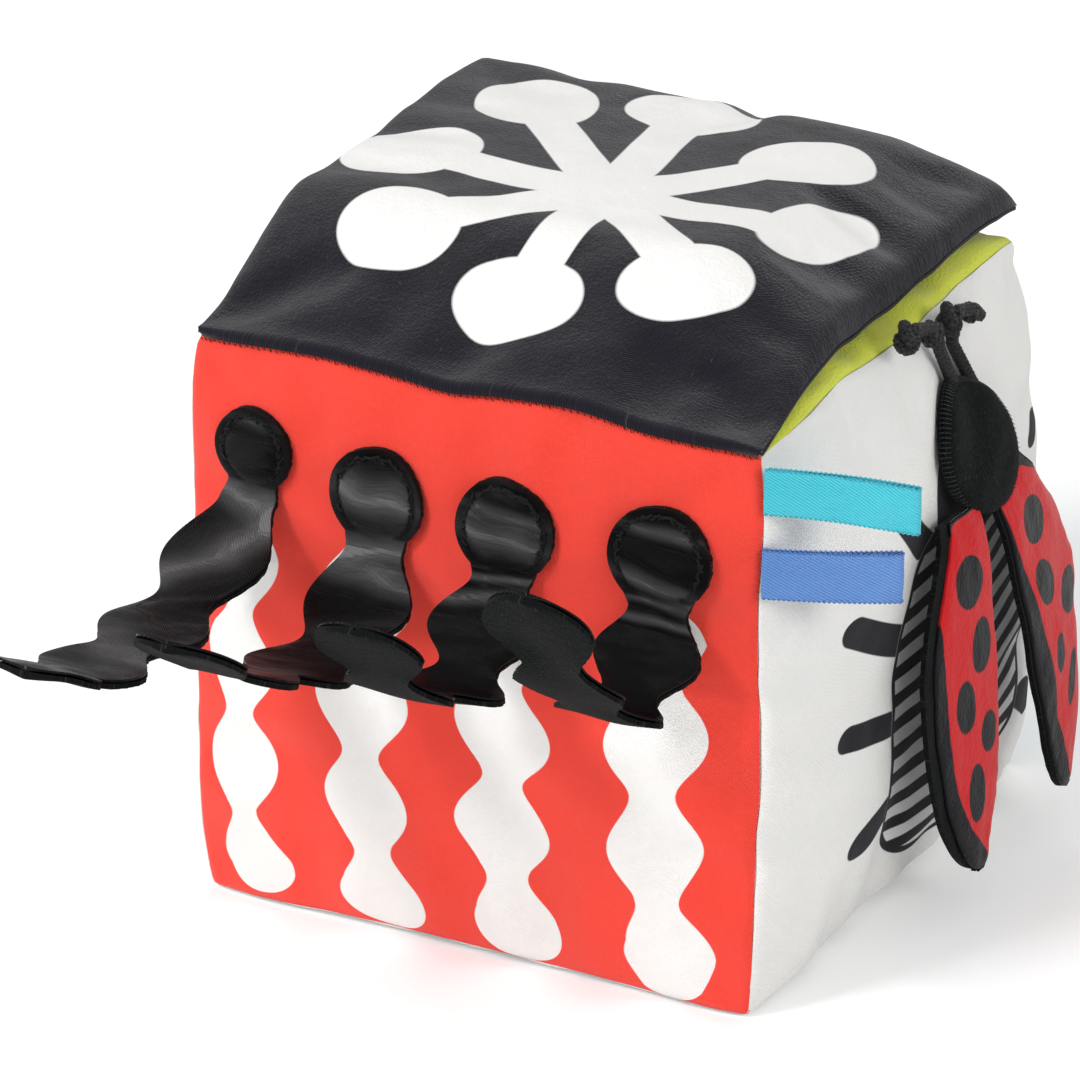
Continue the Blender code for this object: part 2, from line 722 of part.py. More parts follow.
def make_wing(side_name, sign, root_y, below_face, outline, bow, lean, turn):
    """Red satin over wadding on a black felt back; sign is -1 towards the front, +1 to the back."""
    lean = math.radians(lean)
    turn = math.radians(turn)
    down = Vector((0.0, sign * math.sin(lean), -math.cos(lean)))
    across = Vector((-math.sin(turn), sign * math.cos(lean) * math.cos(turn), math.sin(lean)))
    across.normalize()
    out = down.cross(across) if sign > 0 else across.cross(down)
    out.normalize()
    if out.x < 0.0:
        out.negate()
    root_z = FACE_HEIGHT - FACE_HALF_HEIGHT - below_face
    root = Vector((right_x(root_y, root_z) + WING_ROOT_OFF_PANEL, root_y, root_z))

    def surface(s, w, height):
        reach, hang = wing_profile(s, bow)
        ahead, lower = wing_profile(s + WING_STEP_SHARE, bow)
        behind, upper = wing_profile(max(0.0, s - WING_STEP_SHARE), bow)
        tangent = (out * (ahead - behind) + down * (lower - upper)).normalized()
        normal = across.cross(tangent)
        if normal.x < 0.0:
            normal.negate()
        return root + down * hang + out * reach + across * w + normal * height

    def fill(s, share):
        lens = math.sqrt(max(0.0, 1.0 - (2.0 * share - 1.0) ** 2))
        ends = math.sqrt(max(0.0, 1.0 - (2.0 * s / WING_END_SHARE - 1.0) ** 6))
        return WING_RIM_FILL + WING_FILL * lens * ends

    hinge = surface(0.0, 0.0, 2 * CLEARANCE + WING_RIM_FILL + WING_SATIN)

    def layer(name, low, high, edge, material):
        top = []
        bottom = []
        for k in range(WING_STATIONS):
            s = WING_END_SHARE * (1.0 - (1.0 - k / (WING_STATIONS - 1)) ** WING_ROW_POWER)
            inner, outer = wing_edges(s, *outline)
            inset = min(edge, (outer - inner) / 3)
            for j in range(WING_ACROSS + 1):
                share = j / WING_ACROSS
                w = inner + inset + (outer - inner - 2 * inset) * share
                top.append(surface(s, w, high(s, share)))
                bottom.append(surface(s, w, low(s, share)))
        points, faces = layer_solid(top, bottom, WING_STATIONS, WING_ACROSS + 1)
        add_piece(name, points, faces, material, hinge)

    felt = make_material(f"wing_{side_name}_felt", (0.014, 0.016, 0.016), 0.95)
    wadding = make_material(f"wing_{side_name}_wadding", (0.8, 0.8, 0.78), 0.95)
    satin = make_material(f"wing_{side_name}_satin", (0.62, 0.022, 0.028), 0.45)
    layer(f"wing_{side_name}_felt", lambda s, w: -WING_FELT, lambda s, w: 0.0, 0.0, felt)
    layer(f"wing_{side_name}_wadding", lambda s, w: CLEARANCE, lambda s, w: CLEARANCE + fill(s, w),
          WADDING_EDGE, wadding)
    layer(f"wing_{side_name}_satin", lambda s, w: 2 * CLEARANCE + fill(s, w),
          lambda s, w: 2 * CLEARANCE + fill(s, w) + WING_SATIN, 0.0, satin)


def make_wings():
    left_outline = (LEFT_WING_ROOT_SHARE, LEFT_WING_WIDEST_SHARE)
    make_wing("left", -1, LEFT_WING_ROOT_Y, LEFT_WING_BELOW_FACE, left_outline, LEFT_WING_BOW,
              LEFT_WING_LEAN, LEFT_WING_TURN)
    right_outline = (RIGHT_WING_ROOT_SHARE, RIGHT_WING_WIDEST_SHARE)
    make_wing("right", 1, RIGHT_WING_ROOT_Y, RIGHT_WING_BELOW_FACE, right_outline, RIGHT_WING_BOW,
              RIGHT_WING_LEAN, RIGHT_WING_TURN)


# Top flap
def flap_floor(x, y):
    """The underside of the flap: on the crowned top, and lifted a little at its free edges."""
    s = min(1.0, abs(x) / FLAP_HALF_WIDTH)
    t = (y - FLAP_FRONT_Y) / (FLAP_BACK_Y - FLAP_FRONT_Y)
    rise = smooth_step(t / FLAP_RISE_SHARE)
    free = max(s ** 6 * rise, smooth_step((t - FLAP_LIFT_START_SHARE) / (1.0 - FLAP_LIFT_START_SHARE)))
    u = max(-1.0, min(1.0, x / HALF[0]))
    v = max(-1.0, min(1.0, y / HALF[1]))
    crowned = BLOCK_HEIGHT + CROWN_TOP * crown_share(u) * crown_share(v) - front_sag(x, y)
    right = FLAP_RIGHT_LIFT * rise if x > 0.0 else 0.0
    return crowned + FLAP_REST + FLAP_LIFT * free + right * s ** 4


def flap_top(share_x, share_y, puff_loss):
    """How far the flap's top stands over its seam line."""
    s = 2.0 * share_x - 1.0
    over = max(0.0, (abs(s) - FLAP_SIDE_ROLL_SHARE) / (1.0 - FLAP_SIDE_ROLL_SHARE))
    roll = math.sqrt(max(0.0, 1.0 - over * over))
    back = max(0.0, (share_y - FLAP_BACK_ROLL_SHARE) / (1.0 - FLAP_BACK_ROLL_SHARE))
    roll *= math.sqrt(max(0.0, 1.0 - back * back))
    rise = smooth_step(share_y / FLAP_RISE_SHARE)
    right = smooth_step((share_x - FLAP_RIGHT_FALL_SHARE) / (1.0 - FLAP_RIGHT_FALL_SHARE))
    puff = FLAP_PUFF + (FLAP_RIGHT_PUFF - FLAP_PUFF) * right
    puff *= 1.0 - FLAP_CORNER_FALL_SHARE * (1.0 - crown_share(s))
    return max(0.0, puff - puff_loss) * roll * rise


def flap_point(share_x, share_y, inset, front, height):
    """A place on the flap, in from its side and back edges by inset and from its seam by front."""
    drawn = FLAP_RIGHT_DRAW * math.sin(math.pi / 2 * min(1.0, 2.0 * share_y))
    right_edge = FLAP_HALF_WIDTH - drawn - inset
    x = -FLAP_HALF_WIDTH + inset + share_x * (right_edge + FLAP_HALF_WIDTH - inset)
    y = FLAP_FRONT_Y + front + share_y * (FLAP_BACK_Y - FLAP_FRONT_Y - inset - front)
    return Vector((x, y, flap_floor(x, y) + height))


def make_flap():
    """A plush cover over wadding on a plain lining, sewn together round the edge."""
    hinge = Vector((0.0, FLAP_FRONT_Y, BLOCK_HEIGHT + FLAP_HINGE_HEIGHT))
    shares = [(a, b) for b in FLAP_GRID_SHARES for a in FLAP_GRID_SHARES]
    count = len(FLAP_GRID_SHARES)
    seam = FLAP_LINING + CLEARANCE

    edge = seam + FLAP_COVER * FLAP_EDGE_SHARE
    outer = [flap_point(a, b, 0.0, 0.0, edge + flap_top(a, b, 0.0)) for a, b in shares]
    inner = [flap_point(a, b, FLAP_COVER, FLAP_COVER, seam + flap_top(a, b, FLAP_COVER)) for a, b in shares]
    points, faces = layer_solid(outer, inner, count, count)
    add_piece("flap_cover", points, faces, make_material("black_plush", (0.020, 0.018, 0.030), 0.9), hinge)

    lining_top = [flap_point(a, b, 0.0, 0.0, FLAP_LINING) for a, b in shares]
    lining_low = [flap_point(a, b, 0.0, 0.0, 0.0) for a, b in shares]
    points, faces = layer_solid(lining_top, lining_low, count, count)
    add_piece("flap_lining", points, faces, make_material("flap_lining", (0.020, 0.018, 0.026), 0.85), hinge)

    rest = seam + WADDING_REST
    loss = FLAP_COVER + WADDING_REST + 2 * CLEARANCE
    inset = FLAP_WADDING_EDGE
    front = FLAP_WADDING_FRONT
    wadding = [flap_point(a, b, inset, front, rest + flap_top(a, b, loss)) for a, b in shares]
    base = [flap_point(a, b, inset, front, rest) for a, b in shares]
    points, faces = layer_solid(wadding, base, count, count)
    add_piece("flap_wadding", points, faces, make_material("flap_wadding", (0.8, 0.8, 0.78), 0.95), hinge,
              weld=True)


clear_scene()
make_foam_core()
make_panels()
make_strips()
make_ribbons()
make_ladybird_face()
make_feelers()
make_wings()
make_flap()
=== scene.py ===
"""The soft fabric block as it looks: printed cotton panels over foam, four curled satin strips,
two ribbon tags, a felt and satin ladybird, and a padded plush flap.

Metres, +Z up. Every piece follows the solid that it stands for.
"""

import math

import bmesh
import bpy
import numpy as np
from mathutils import Matrix, Vector


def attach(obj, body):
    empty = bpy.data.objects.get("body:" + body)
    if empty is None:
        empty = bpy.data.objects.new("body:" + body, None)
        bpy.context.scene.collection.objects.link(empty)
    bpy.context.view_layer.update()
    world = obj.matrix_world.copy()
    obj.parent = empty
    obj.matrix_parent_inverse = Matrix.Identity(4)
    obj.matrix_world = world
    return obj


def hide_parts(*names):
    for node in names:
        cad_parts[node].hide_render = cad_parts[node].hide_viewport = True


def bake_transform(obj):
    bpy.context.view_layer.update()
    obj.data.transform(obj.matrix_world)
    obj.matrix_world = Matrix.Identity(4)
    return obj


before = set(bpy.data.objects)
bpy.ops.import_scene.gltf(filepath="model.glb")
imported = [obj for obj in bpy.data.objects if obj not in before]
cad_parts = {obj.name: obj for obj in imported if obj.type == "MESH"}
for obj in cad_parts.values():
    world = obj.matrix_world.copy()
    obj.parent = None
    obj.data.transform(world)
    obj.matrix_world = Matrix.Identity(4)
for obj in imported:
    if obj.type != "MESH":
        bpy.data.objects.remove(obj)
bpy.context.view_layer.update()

scene = bpy.context.scene

# The camera stands in front of the block's right edge and looks down on it, as in the photograph.
VIEW_TARGET = Vector((-0.0204, 0.0, 0.074))
VIEW_TURN = 0.479
VIEW_RISE = 0.4264
VIEW_ROLL = 0.0034
VIEW_DISTANCE = 1.704
FOCAL_SHARE = 6969.3 / 1080.0
SENSOR = 36.0

toward = Vector((math.sin(VIEW_TURN) * math.cos(VIEW_RISE),
                 -math.cos(VIEW_TURN) * math.cos(VIEW_RISE), math.sin(VIEW_RISE)))
level = Vector((0.0, 0.0, 1.0)).cross(toward).normalized()
upright = toward.cross(level)
right = level * math.cos(VIEW_ROLL) + upright * math.sin(VIEW_ROLL)
camera_up = toward.cross(right)
camera_data = bpy.data.cameras.new("photo_camera")
camera_data.sensor_width = SENSOR
camera_data.lens = SENSOR * FOCAL_SHARE
camera = bpy.data.objects.new("photo_camera", camera_data)
place = Matrix((right, camera_up, toward)).transposed().to_4x4()
place.translation = VIEW_TARGET + toward * VIEW_DISTANCE
camera.matrix_world = place
scene.collection.objects.link(camera)
scene.camera = camera

# A white room: a wide pale floor, white light from all round, a big soft box at the upper left
# front, a long one over the strips that makes the satin shine, and a weak one at the right.
AMBIENT = 0.50
FLOOR_SIZE = 30.0
FLOOR_DROP = 0.0004
FLOOR_WHITE = 0.94
FLOOR_GLOW = 0.16
SOFT_BOXES = {
    "left_front_box": ((-1.05, -1.75, 1.80), (0.60, 0.60), 34.0),
    "low_front_box": ((-0.85, -1.80, 0.34), (1.30, 0.22), 10.0),
    "right_box": ((1.90, -0.60, 1.10), (0.80, 0.80), 15.0),
    "back_box": ((-0.60, 1.80, 1.90), (1.20, 1.20), 8.0),
}

world = bpy.data.worlds.new("white_room")
world.use_nodes = True
room = world.node_tree
rays = room.nodes.new("ShaderNodeLightPath")
seen = room.nodes.new("ShaderNodeMath")
seen.operation = "MAXIMUM"
room.links.new(rays.outputs["Is Camera Ray"], seen.inputs[0])
room.links.new(rays.outputs["Is Glossy Ray"], seen.inputs[1])
shown = room.nodes.new("ShaderNodeMath")
shown.operation = "MAXIMUM"
room.links.new(seen.outputs[0], shown.inputs[0])
room.links.new(rays.outputs["Is Transmission Ray"], shown.inputs[1])
strength = room.nodes.new("ShaderNodeMapRange")
strength.inputs["To Min"].default_value = AMBIENT
strength.inputs["To Max"].default_value = 1.0
room.links.new(shown.outputs[0], strength.inputs["Value"])
background = room.nodes["Background"]
background.inputs["Color"].default_value = (1.0, 1.0, 1.0, 1.0)
room.links.new(strength.outputs["Result"], background.inputs["Strength"])
scene.world = world
scene.view_settings.view_transform = "Standard"

for lamp_name, (spot, (wide, high), power) in SOFT_BOXES.items():
    lamp = bpy.data.lights.new(lamp_name, "AREA")
    lamp.shape = "RECTANGLE"
    lamp.size = wide
    lamp.size_y = high
    lamp.energy = power
    lamp_object = bpy.data.objects.new(lamp_name, lamp)
    lamp_object.location = spot
    aim = Vector((0.0, 0.0, 0.08)) - Vector(spot)
    lamp_object.rotation_euler = aim.to_track_quat("-Z", "Y").to_euler()
    scene.collection.objects.link(lamp_object)

floor_material = bpy.data.materials.new("pale_floor")
floor_material.use_nodes = True
paint = floor_material.node_tree
paint_shader = paint.nodes["Principled BSDF"]
paint_shader.inputs["Base Color"].default_value = (FLOOR_WHITE, FLOOR_WHITE, FLOOR_WHITE, 1.0)
paint_shader.inputs["Roughness"].default_value = 0.9
paint_shader.inputs["Specular IOR Level"].default_value = 0.0
paint_shader.inputs["Emission Color"].default_value = (1.0, 1.0, 1.0, 1.0)
floor_rays = paint.nodes.new("ShaderNodeLightPath")
glow = paint.nodes.new("ShaderNodeMath")
glow.operation = "MULTIPLY"
glow.inputs[1].default_value = FLOOR_GLOW
paint.links.new(floor_rays.outputs["Is Camera Ray"], glow.inputs[0])
paint.links.new(glow.outputs[0], paint_shader.inputs["Emission Strength"])
floor_mesh = bpy.data.meshes.new("pale_floor")
reach = FLOOR_SIZE / 2
floor_mesh.from_pydata([(-reach, -reach, -FLOOR_DROP), (reach, -reach, -FLOOR_DROP),
                        (reach, reach, -FLOOR_DROP), (-reach, reach, -FLOOR_DROP)], [], [(0, 1, 2, 3)])
floor_mesh.materials.append(floor_material)
floor = bpy.data.objects.new("pale_floor", floor_mesh)
scene.collection.objects.link(floor)


# The foam cube that fills the block. It is cut slightly larger than the cover, so it presses the
# six panels out: the cover's shape, its crowns, its spread back and its sunk front edge, is here.
HALF = np.array([0.0760, 0.0755, 0.0743])
BLOCK_HEIGHT = 0.1486
CROWN_POWER = 3.0
SEAM_DRAW = 0.0015
DRAW_START = 0.62
BACK_SPREAD = 0.0060
BACK_BULGE = 0.0040
BACK_TUCK = 0.0050
FRONT_SAG = 0.0013
UNEVEN = 0.0011
UNEVEN_SIZE = 0.055
CORNER_PULL = 0.0030
PANEL_CLOTH = 0.0009
BAG_CELLS = 48
BAG_SCALE = 10.0
BAG_FRAMES = 20
BAG_CAP = 0.0025
FOAM_INSIDE = 0.0022
FOAM_CELLS = 30
FOAM_CREAM = (0.82, 0.80, 0.72)
PANELS = {
    "front_panel": (1, -1.0, 0, 2, 0.0045),
    "back_panel": (1, 1.0, 0, 2, 0.0040),
    "right_panel": (0, 1.0, 1, 2, 0.0060),
    "left_panel": (0, -1.0, 1, 2, 0.0050),
    "top_panel": (2, 1.0, 0, 1, 0.0045),
    "bottom_panel": (2, -1.0, 0, 1, 0.0),
}


def ease(value):
    value = np.clip(value, 0.0, 1.0)
    return value * value * (3.0 - 2.0 * value)


def crowned(u):
    return 1.0 - np.abs(u) ** CROWN_POWER


def drawn(u):
    return (np.maximum(0.0, np.abs(u) - DRAW_START) / (1.0 - DRAW_START)) ** 2


def front_sag(x, y):
    side = (x / HALF[0] + 0.9) / 0.8
    front = (-y / HALF[1] - 0.3) / 0.7
    return FRONT_SAG * ease(side) * ease(front)


def wander(seed, size, x, y):
    """A smooth uneven height from -1 to 1, its humps about one size across."""
    chance = np.random.default_rng(seed)
    total = 0.0
    for _ in range(7):
        turn, phase = chance.uniform(0, 2 * math.pi, 2)
        length = size * chance.uniform(0.7, 1.8)
        total = total + np.sin((x * math.cos(turn) + y * math.sin(turn)) * 2 * math.pi / length + phase)
    return total / 4.5


def settle(spots):
    """How hand sewing leaves the block uneven: waves in it, and its eight corners pulled in."""
    x, y, z = spots[..., 0], spots[..., 1], spots[..., 2]
    off_floor = ease(z / 0.030)
    shares = np.sort(np.abs(np.stack([x / HALF[0], y / HALF[1], z / HALF[2] - 1.0], -1)), -1)
    pull = CORNER_PULL * np.clip((shares[..., 0] - 0.50) / 0.50, 0.0, 1.0) ** 3
    shift = np.stack([wander(200 + axis, UNEVEN_SIZE, x + 0.55 * z, y - 0.65 * z) for axis in range(3)], -1)
    shift = shift * UNEVEN
    shift[..., 2] *= off_floor
    for axis in range(3):
        middle = HALF[2] if axis == 2 else 0.0
        shift[..., axis] -= pull * np.sign(spots[..., axis] - middle) * (off_floor if axis == 2 else 1.0)
    return spots + shift


CREASED = {}


def cover_place(panel, a, b, lift):
    """Points of a panel: a and b are metres from its middle, lift is out from its face."""
    normal, sign, first, second, crown = PANELS[panel]
    a, b, lift = np.broadcast_arrays(np.asarray(a, float), np.asarray(b, float), np.asarray(lift, float))
    u, v = a / HALF[first], b / HALF[second]
    draw_u = SEAM_DRAW * (1.0 - np.minimum(1.0, u * u))
    draw_v = SEAM_DRAW * (1.0 - np.minimum(1.0, v * v))
    spots = np.zeros(a.shape + (3,))
    spots[..., normal] = sign * (HALF[normal] + lift + crown * crowned(u) * crowned(v)
                                 - draw_v * drawn(u) - draw_u * drawn(v))
    spots[..., first] = a - np.sign(u) * draw_v * drawn(u)
    spots[..., second] = b - np.sign(v) * draw_u * drawn(v)
    spots[..., 2] += HALF[2]
    height = spots[..., 2] / BLOCK_HEIGHT
    back = np.maximum(0.0, spots[..., 1] / HALF[1])
    spread = BACK_SPREAD * ease((0.80 - height) / 0.25) + BACK_BULGE * np.sin(np.pi * np.clip(height, 0, 1))
    tuck = BACK_TUCK * ease((height - 0.74) / 0.26)
    sag = front_sag(spots[..., 0], spots[..., 1]) * ease((height - 0.70) / 0.30)
    spots[..., 1] += back * (spread - tuck)
    spots[..., 2] -= sag
    spots = settle(spots)
    if panel in CREASED:
        spots = spots + from_grid(CREASED[panel], (u + 1.0) / 2.0, (v + 1.0) / 2.0)
    return spots


def from_grid(grid, across, up):
    """The value between the points of an even grid, whose sides run from 0 to 1."""
    count = np.array(grid.shape[:2]) - 1
    total = 0.0
    steps = []
    for share, cells in ((up, count[0]), (across, count[1])):
        where = np.clip(share, 0.0, 1.0) * cells
        cell = np.minimum(where.astype(int), cells - 1)
        f = where - cell
        weights = (-0.5 * f + f ** 2 - 0.5 * f ** 3, 1.0 - 2.5 * f ** 2 + 1.5 * f ** 3,
                   0.5 * f + 2.0 * f ** 2 - 1.5 * f ** 3, 0.5 * f ** 3 - 0.5 * f ** 2)
        steps.append([(np.clip(cell + k - 1, 0, cells), weights[k]) for k in range(4)])
    for row, row_weight in steps[0]:
        for column, column_weight in steps[1]:
            total = total + grid[row, column] * (row_weight * column_weight)[..., None]
    return total


def blown(spots, faces, hold, taut, slack, pressure, soft, cap):
    """How far the points of a sewn cover move when its filling presses it out.

    A short cloth simulation at ten times the size. The cloth is cut a little too large where taut
    is 0, so it puckers there; hold keeps each point near its place."""
    mesh = bpy.data.meshes.new("bag")
    mesh.from_pydata([tuple(p) for p in spots * BAG_SCALE], [], faces)
    bag = bpy.data.objects.new("bag", mesh)
    scene.collection.objects.link(bag)
    for group_name, weights in (("hold", hold), ("taut", taut)):
        group = bag.vertex_groups.new(name=group_name)
        for number, weight in enumerate(weights):
            group.add([number], float(weight), "REPLACE")
    sewn = bag.modifiers.new("sewn", "CLOTH").settings
    sewn.quality = 6
    sewn.mass = 0.15
    sewn.tension_stiffness = 15.0
    sewn.compression_stiffness = 15.0
    sewn.shear_stiffness = 6.0
    sewn.bending_stiffness = soft
    sewn.air_damping = 3.0
    sewn.vertex_group_mass = "hold"
    sewn.pin_stiffness = 1.0
    sewn.vertex_group_shrink = "taut"
    sewn.shrink_min = -slack
    sewn.shrink_max = 0.0
    sewn.use_pressure = True
    sewn.uniform_pressure_force = pressure
    sewn.effector_weights.gravity = 0.0
    for number in range(1, BAG_FRAMES + 1):
        scene.frame_set(number)
    risen = bag.evaluated_get(bpy.context.evaluated_depsgraph_get())
    rest = np.empty(len(spots) * 3)
    risen.data.vertices.foreach_get("co", rest)
    bpy.data.objects.remove(bag)
    bpy.data.meshes.remove(mesh)
    scene.frame_set(1)
    moved = rest.reshape(-1, 3) / BAG_SCALE - spots
    near = np.array([(face[k], face[k - 1]) for face in faces for k in range(4)])
    near = np.concatenate([near, near[:, ::-1]])
    count = np.bincount(near[:, 0], minlength=len(spots))[:, None]
    for _ in range(2):
        mean = np.zeros_like(moved)
        np.add.at(mean, near[:, 0], moved[near[:, 1]])
        moved = (moved + mean / count) / 2.0
    size = np.linalg.norm(moved, axis=1)
    return moved * np.minimum(1.0, cap / np.maximum(size, 1e-9))[:, None]


class Dye:
    """A value that changes over a cloth. It is added, cut and compared like a number."""

    def __init__(self, cloth, socket):
        self.cloth = cloth
        self.socket = socket

    def __add__(self, other):
        return self.cloth.reckon("ADD", self, other)

    def __sub__(self, other):
        return self.cloth.reckon("SUBTRACT", self, other)

    def __rsub__(self, other):
        return self.cloth.reckon("SUBTRACT", other, self)

    def __mul__(self, other):
        return self.cloth.reckon("MULTIPLY", self, other)

    def __truediv__(self, other):
        return self.cloth.reckon("DIVIDE", self, other)

    def __pow__(self, other):
        return self.cloth.reckon("POWER", self, other)

    def __abs__(self):
        return self.cloth.reckon("ABSOLUTE", self)

    __radd__ = __add__
    __rmul__ = __mul__

    def root(self):
        return self.cloth.reckon("SQRT", self)

    def wave(self):
        return self.cloth.reckon("SINE", self)

    def least(self, other):
        return self.cloth.reckon("MINIMUM", self, other)

    def most(self, other):
        return self.cloth.reckon("MAXIMUM", self, other)

    def under(self, other):
        return self.cloth.reckon("LESS_THAN", self, other)

    def wrap(self, high, low):
        return self.cloth.reckon("WRAP", self, high, low)

    def inked(self, bleed=0.0003):
        """One where a distance is below zero, with an edge as soft as ink on cloth."""
        return (0.5 - self / bleed).most(0.0).least(1.0)


class Cloth:
    """A material that is made up from dyes, grain and nap, by each point's flat place."""

    def __init__(self, name, roughness, specular=0.25, sheen=0.0):
        self.material = bpy.data.materials.new(name)
        self.material.use_nodes = True
        self.nodes = self.material.node_tree.nodes
        self.links = self.material.node_tree.links
        self.shader = self.nodes["Principled BSDF"]
        self.shader.inputs["Roughness"].default_value = roughness
        self.shader.inputs["Specular IOR Level"].default_value = specular
        self.shader.inputs["Sheen Weight"].default_value = sheen
        self.shader.inputs["Sheen Roughness"].default_value = 0.45
        spot = self.nodes.new("ShaderNodeAttribute")
        spot.attribute_name = "laid"
        self.spot = spot.outputs["Vector"]
        split = self.nodes.new("ShaderNodeSeparateXYZ")
        self.links.new(self.spot, split.inputs[0])
        self.along, self.across, self.third = (Dye(self, out) for out in split.outputs)

    def feed(self, port, value):
        if isinstance(value, Dye):
            self.links.new(value.socket, port)
        else:
            port.default_value = value

    def reckon(self, operation, *values):
        node = self.nodes.new("ShaderNodeMath")
        node.operation = operation
        for port, value in zip(node.inputs, values):
            self.feed(port, value)
        return Dye(self, node.outputs[0])

    def grain(self, size, detail=2.0, stretch=(1.0, 1.0, 1.0)):
        """Uneven spots about one size across, from 0 to 1."""
        scaled = self.nodes.new("ShaderNodeVectorMath")
        scaled.operation = "MULTIPLY"
        scaled.inputs[1].default_value = tuple(s / size for s in stretch)
        self.links.new(self.spot, scaled.inputs[0])
        noise = self.nodes.new("ShaderNodeTexNoise")
        noise.inputs["Scale"].default_value = 1.0
        noise.inputs["Detail"].default_value = detail
        self.links.new(scaled.outputs[0], noise.inputs["Vector"])
        return Dye(self, noise.outputs["Fac"])

    def twill(self, pitch, lean=1.0):
        """The slanting lines of a twill or a satin, from -1 to 1."""
        return ((self.along * lean + self.across) * (2.0 * math.pi / pitch)).wave()

    def coat(self, base, *coats):
        """A base colour, and over it each (where, colour) in turn."""
        colour = base
        for where, over in coats:
            node = self.nodes.new("ShaderNodeMix")
            node.data_type = "RGBA"
            self.feed(node.inputs[0], where)
            for port, value in ((node.inputs[6], colour), (node.inputs[7], over)):
                if isinstance(value, tuple):
                    port.default_value = (*value, 1.0)
                else:
                    self.links.new(value, port)
            colour = node.outputs[2]
        if isinstance(colour, tuple):
            self.shader.inputs["Base Color"].default_value = (*colour, 1.0)
        else:
            self.links.new(colour, self.shader.inputs["Base Color"])
        return colour

    def nap(self, height, depth):
        """The relief of the threads, as deep as depth where height goes from 0 to 1."""
        bump = self.nodes.new("ShaderNodeBump")
        bump.inputs["Strength"].default_value = 1.0
        bump.inputs["Distance"].default_value = depth
        self.feed(bump.inputs["Height"], height)
        self.links.new(bump.outputs["Normal"], self.shader.inputs["Normal"])


def make_up(name, spots, faces, cloth, laid, crease=45.0):
    """One piece from its points, its faces and each point's flat place on the cloth."""
    mesh = bpy.data.meshes.new(name)
    mesh.from_pydata([tuple(p) for p in np.asarray(spots, float).reshape(-1, 3)], [], faces)
    flat = mesh.attributes.new("laid", "FLOAT_VECTOR", "POINT")
    flat.data.foreach_set("vector", np.asarray(laid, np.float32).reshape(-1))
    shell = bmesh.new()
    shell.from_mesh(mesh)
    bmesh.ops.recalc_face_normals(shell, faces=shell.faces)
    shell.to_mesh(mesh)
    shell.free()
    mesh.shade_smooth()
    mesh.set_sharp_from_angle(angle=math.radians(crease))
    mesh.materials.append(cloth.material)
    piece = bpy.data.objects.new(name, mesh)
    scene.collection.objects.link(piece)
    return piece


def grid_faces(rows, columns, start=0):
    count = start + np.arange(rows - 1)[:, None] * columns + np.arange(columns - 1)[None, :]
    quads = np.stack([count, count + 1, count + columns + 1, count + columns], -1)
    return [tuple(int(k) for k in quad) for quad in quads.reshape(-1, 4)]


def two_layers(top, bottom):
    """A top and a bottom grid of points, closed round the edge."""
    rows, columns = top.shape[:2]
    spots = np.concatenate([top.reshape(-1, 3), bottom.reshape(-1, 3)])
    offset = rows * columns
    faces = grid_faces(rows, columns) + [tuple(reversed(q)) for q in grid_faces(rows, columns, offset)]
    loop = list(range(columns)) + [r * columns + columns - 1 for r in range(1, rows)]
    loop += [(rows - 1) * columns + c for c in range(columns - 2, -1, -1)]
    loop += [r * columns for r in range(rows - 2, 0, -1)]
    for k, a in enumerate(loop):
        b = loop[(k + 1) % len(loop)]
        faces.append((b, a, a + offset, b + offset))
    return spots, faces


number_of, bag_spots, bag_faces, bag_gap, bag_sheet = {}, [], [], [], {}
steps = range(BAG_CELLS + 1)
shares = np.linspace(-1.0, 1.0, BAG_CELLS + 1)
for panel, (normal, sign, first, second, _) in PANELS.items():
    places = cover_place(panel, *np.meshgrid(shares * HALF[first], shares * HALF[second]), 0.0)
    sheet = np.zeros((BAG_CELLS + 1, BAG_CELLS + 1), int)
    for j in steps:
        for i in steps:
            key = [0, 0, 0]
            key[normal], key[first], key[second] = (BAG_CELLS if sign > 0 else 0), i, j
            if tuple(key) not in number_of:
                number_of[tuple(key)] = len(bag_spots)
                bag_spots.append(places[j, i])
                bag_gap.append(min(i, BAG_CELLS - i, j, BAG_CELLS - j) * 2.0 * HALF[0] / BAG_CELLS)
            sheet[j, i] = number_of[tuple(key)]
    bag_sheet[panel] = sheet
    quads = np.stack([sheet[:-1, :-1], sheet[:-1, 1:], sheet[1:, 1:], sheet[1:, :-1]], -1).reshape(-1, 4)
    if (sign > 0) != (normal in (0, 2)):
        quads = quads[:, ::-1]
    bag_faces += [tuple(int(k) for k in quad) for quad in quads]
bag_spots, bag_gap = np.array(bag_spots), np.array(bag_gap)
uneven = wander(11, 0.045, bag_spots[:, 0] + 0.5 * bag_spots[:, 2], bag_spots[:, 1] - 0.5 * bag_spots[:, 2])
taut = np.clip(1.0 - bag_gap / 0.007, 0.0, 1.0) + ease((bag_gap - 0.014 - 0.006 * uneven) / 0.026)
taut = np.clip(taut + 0.35 * np.maximum(0.0, uneven), 0.0, 1.0)
hold = np.where(bag_gap < 1e-6, 0.74, 0.40)
moved = blown(bag_spots, bag_faces, hold, taut, 0.020, 6.0, 45.0, BAG_CAP)
for panel, sheet in bag_sheet.items():
    CREASED[panel] = moved[sheet]

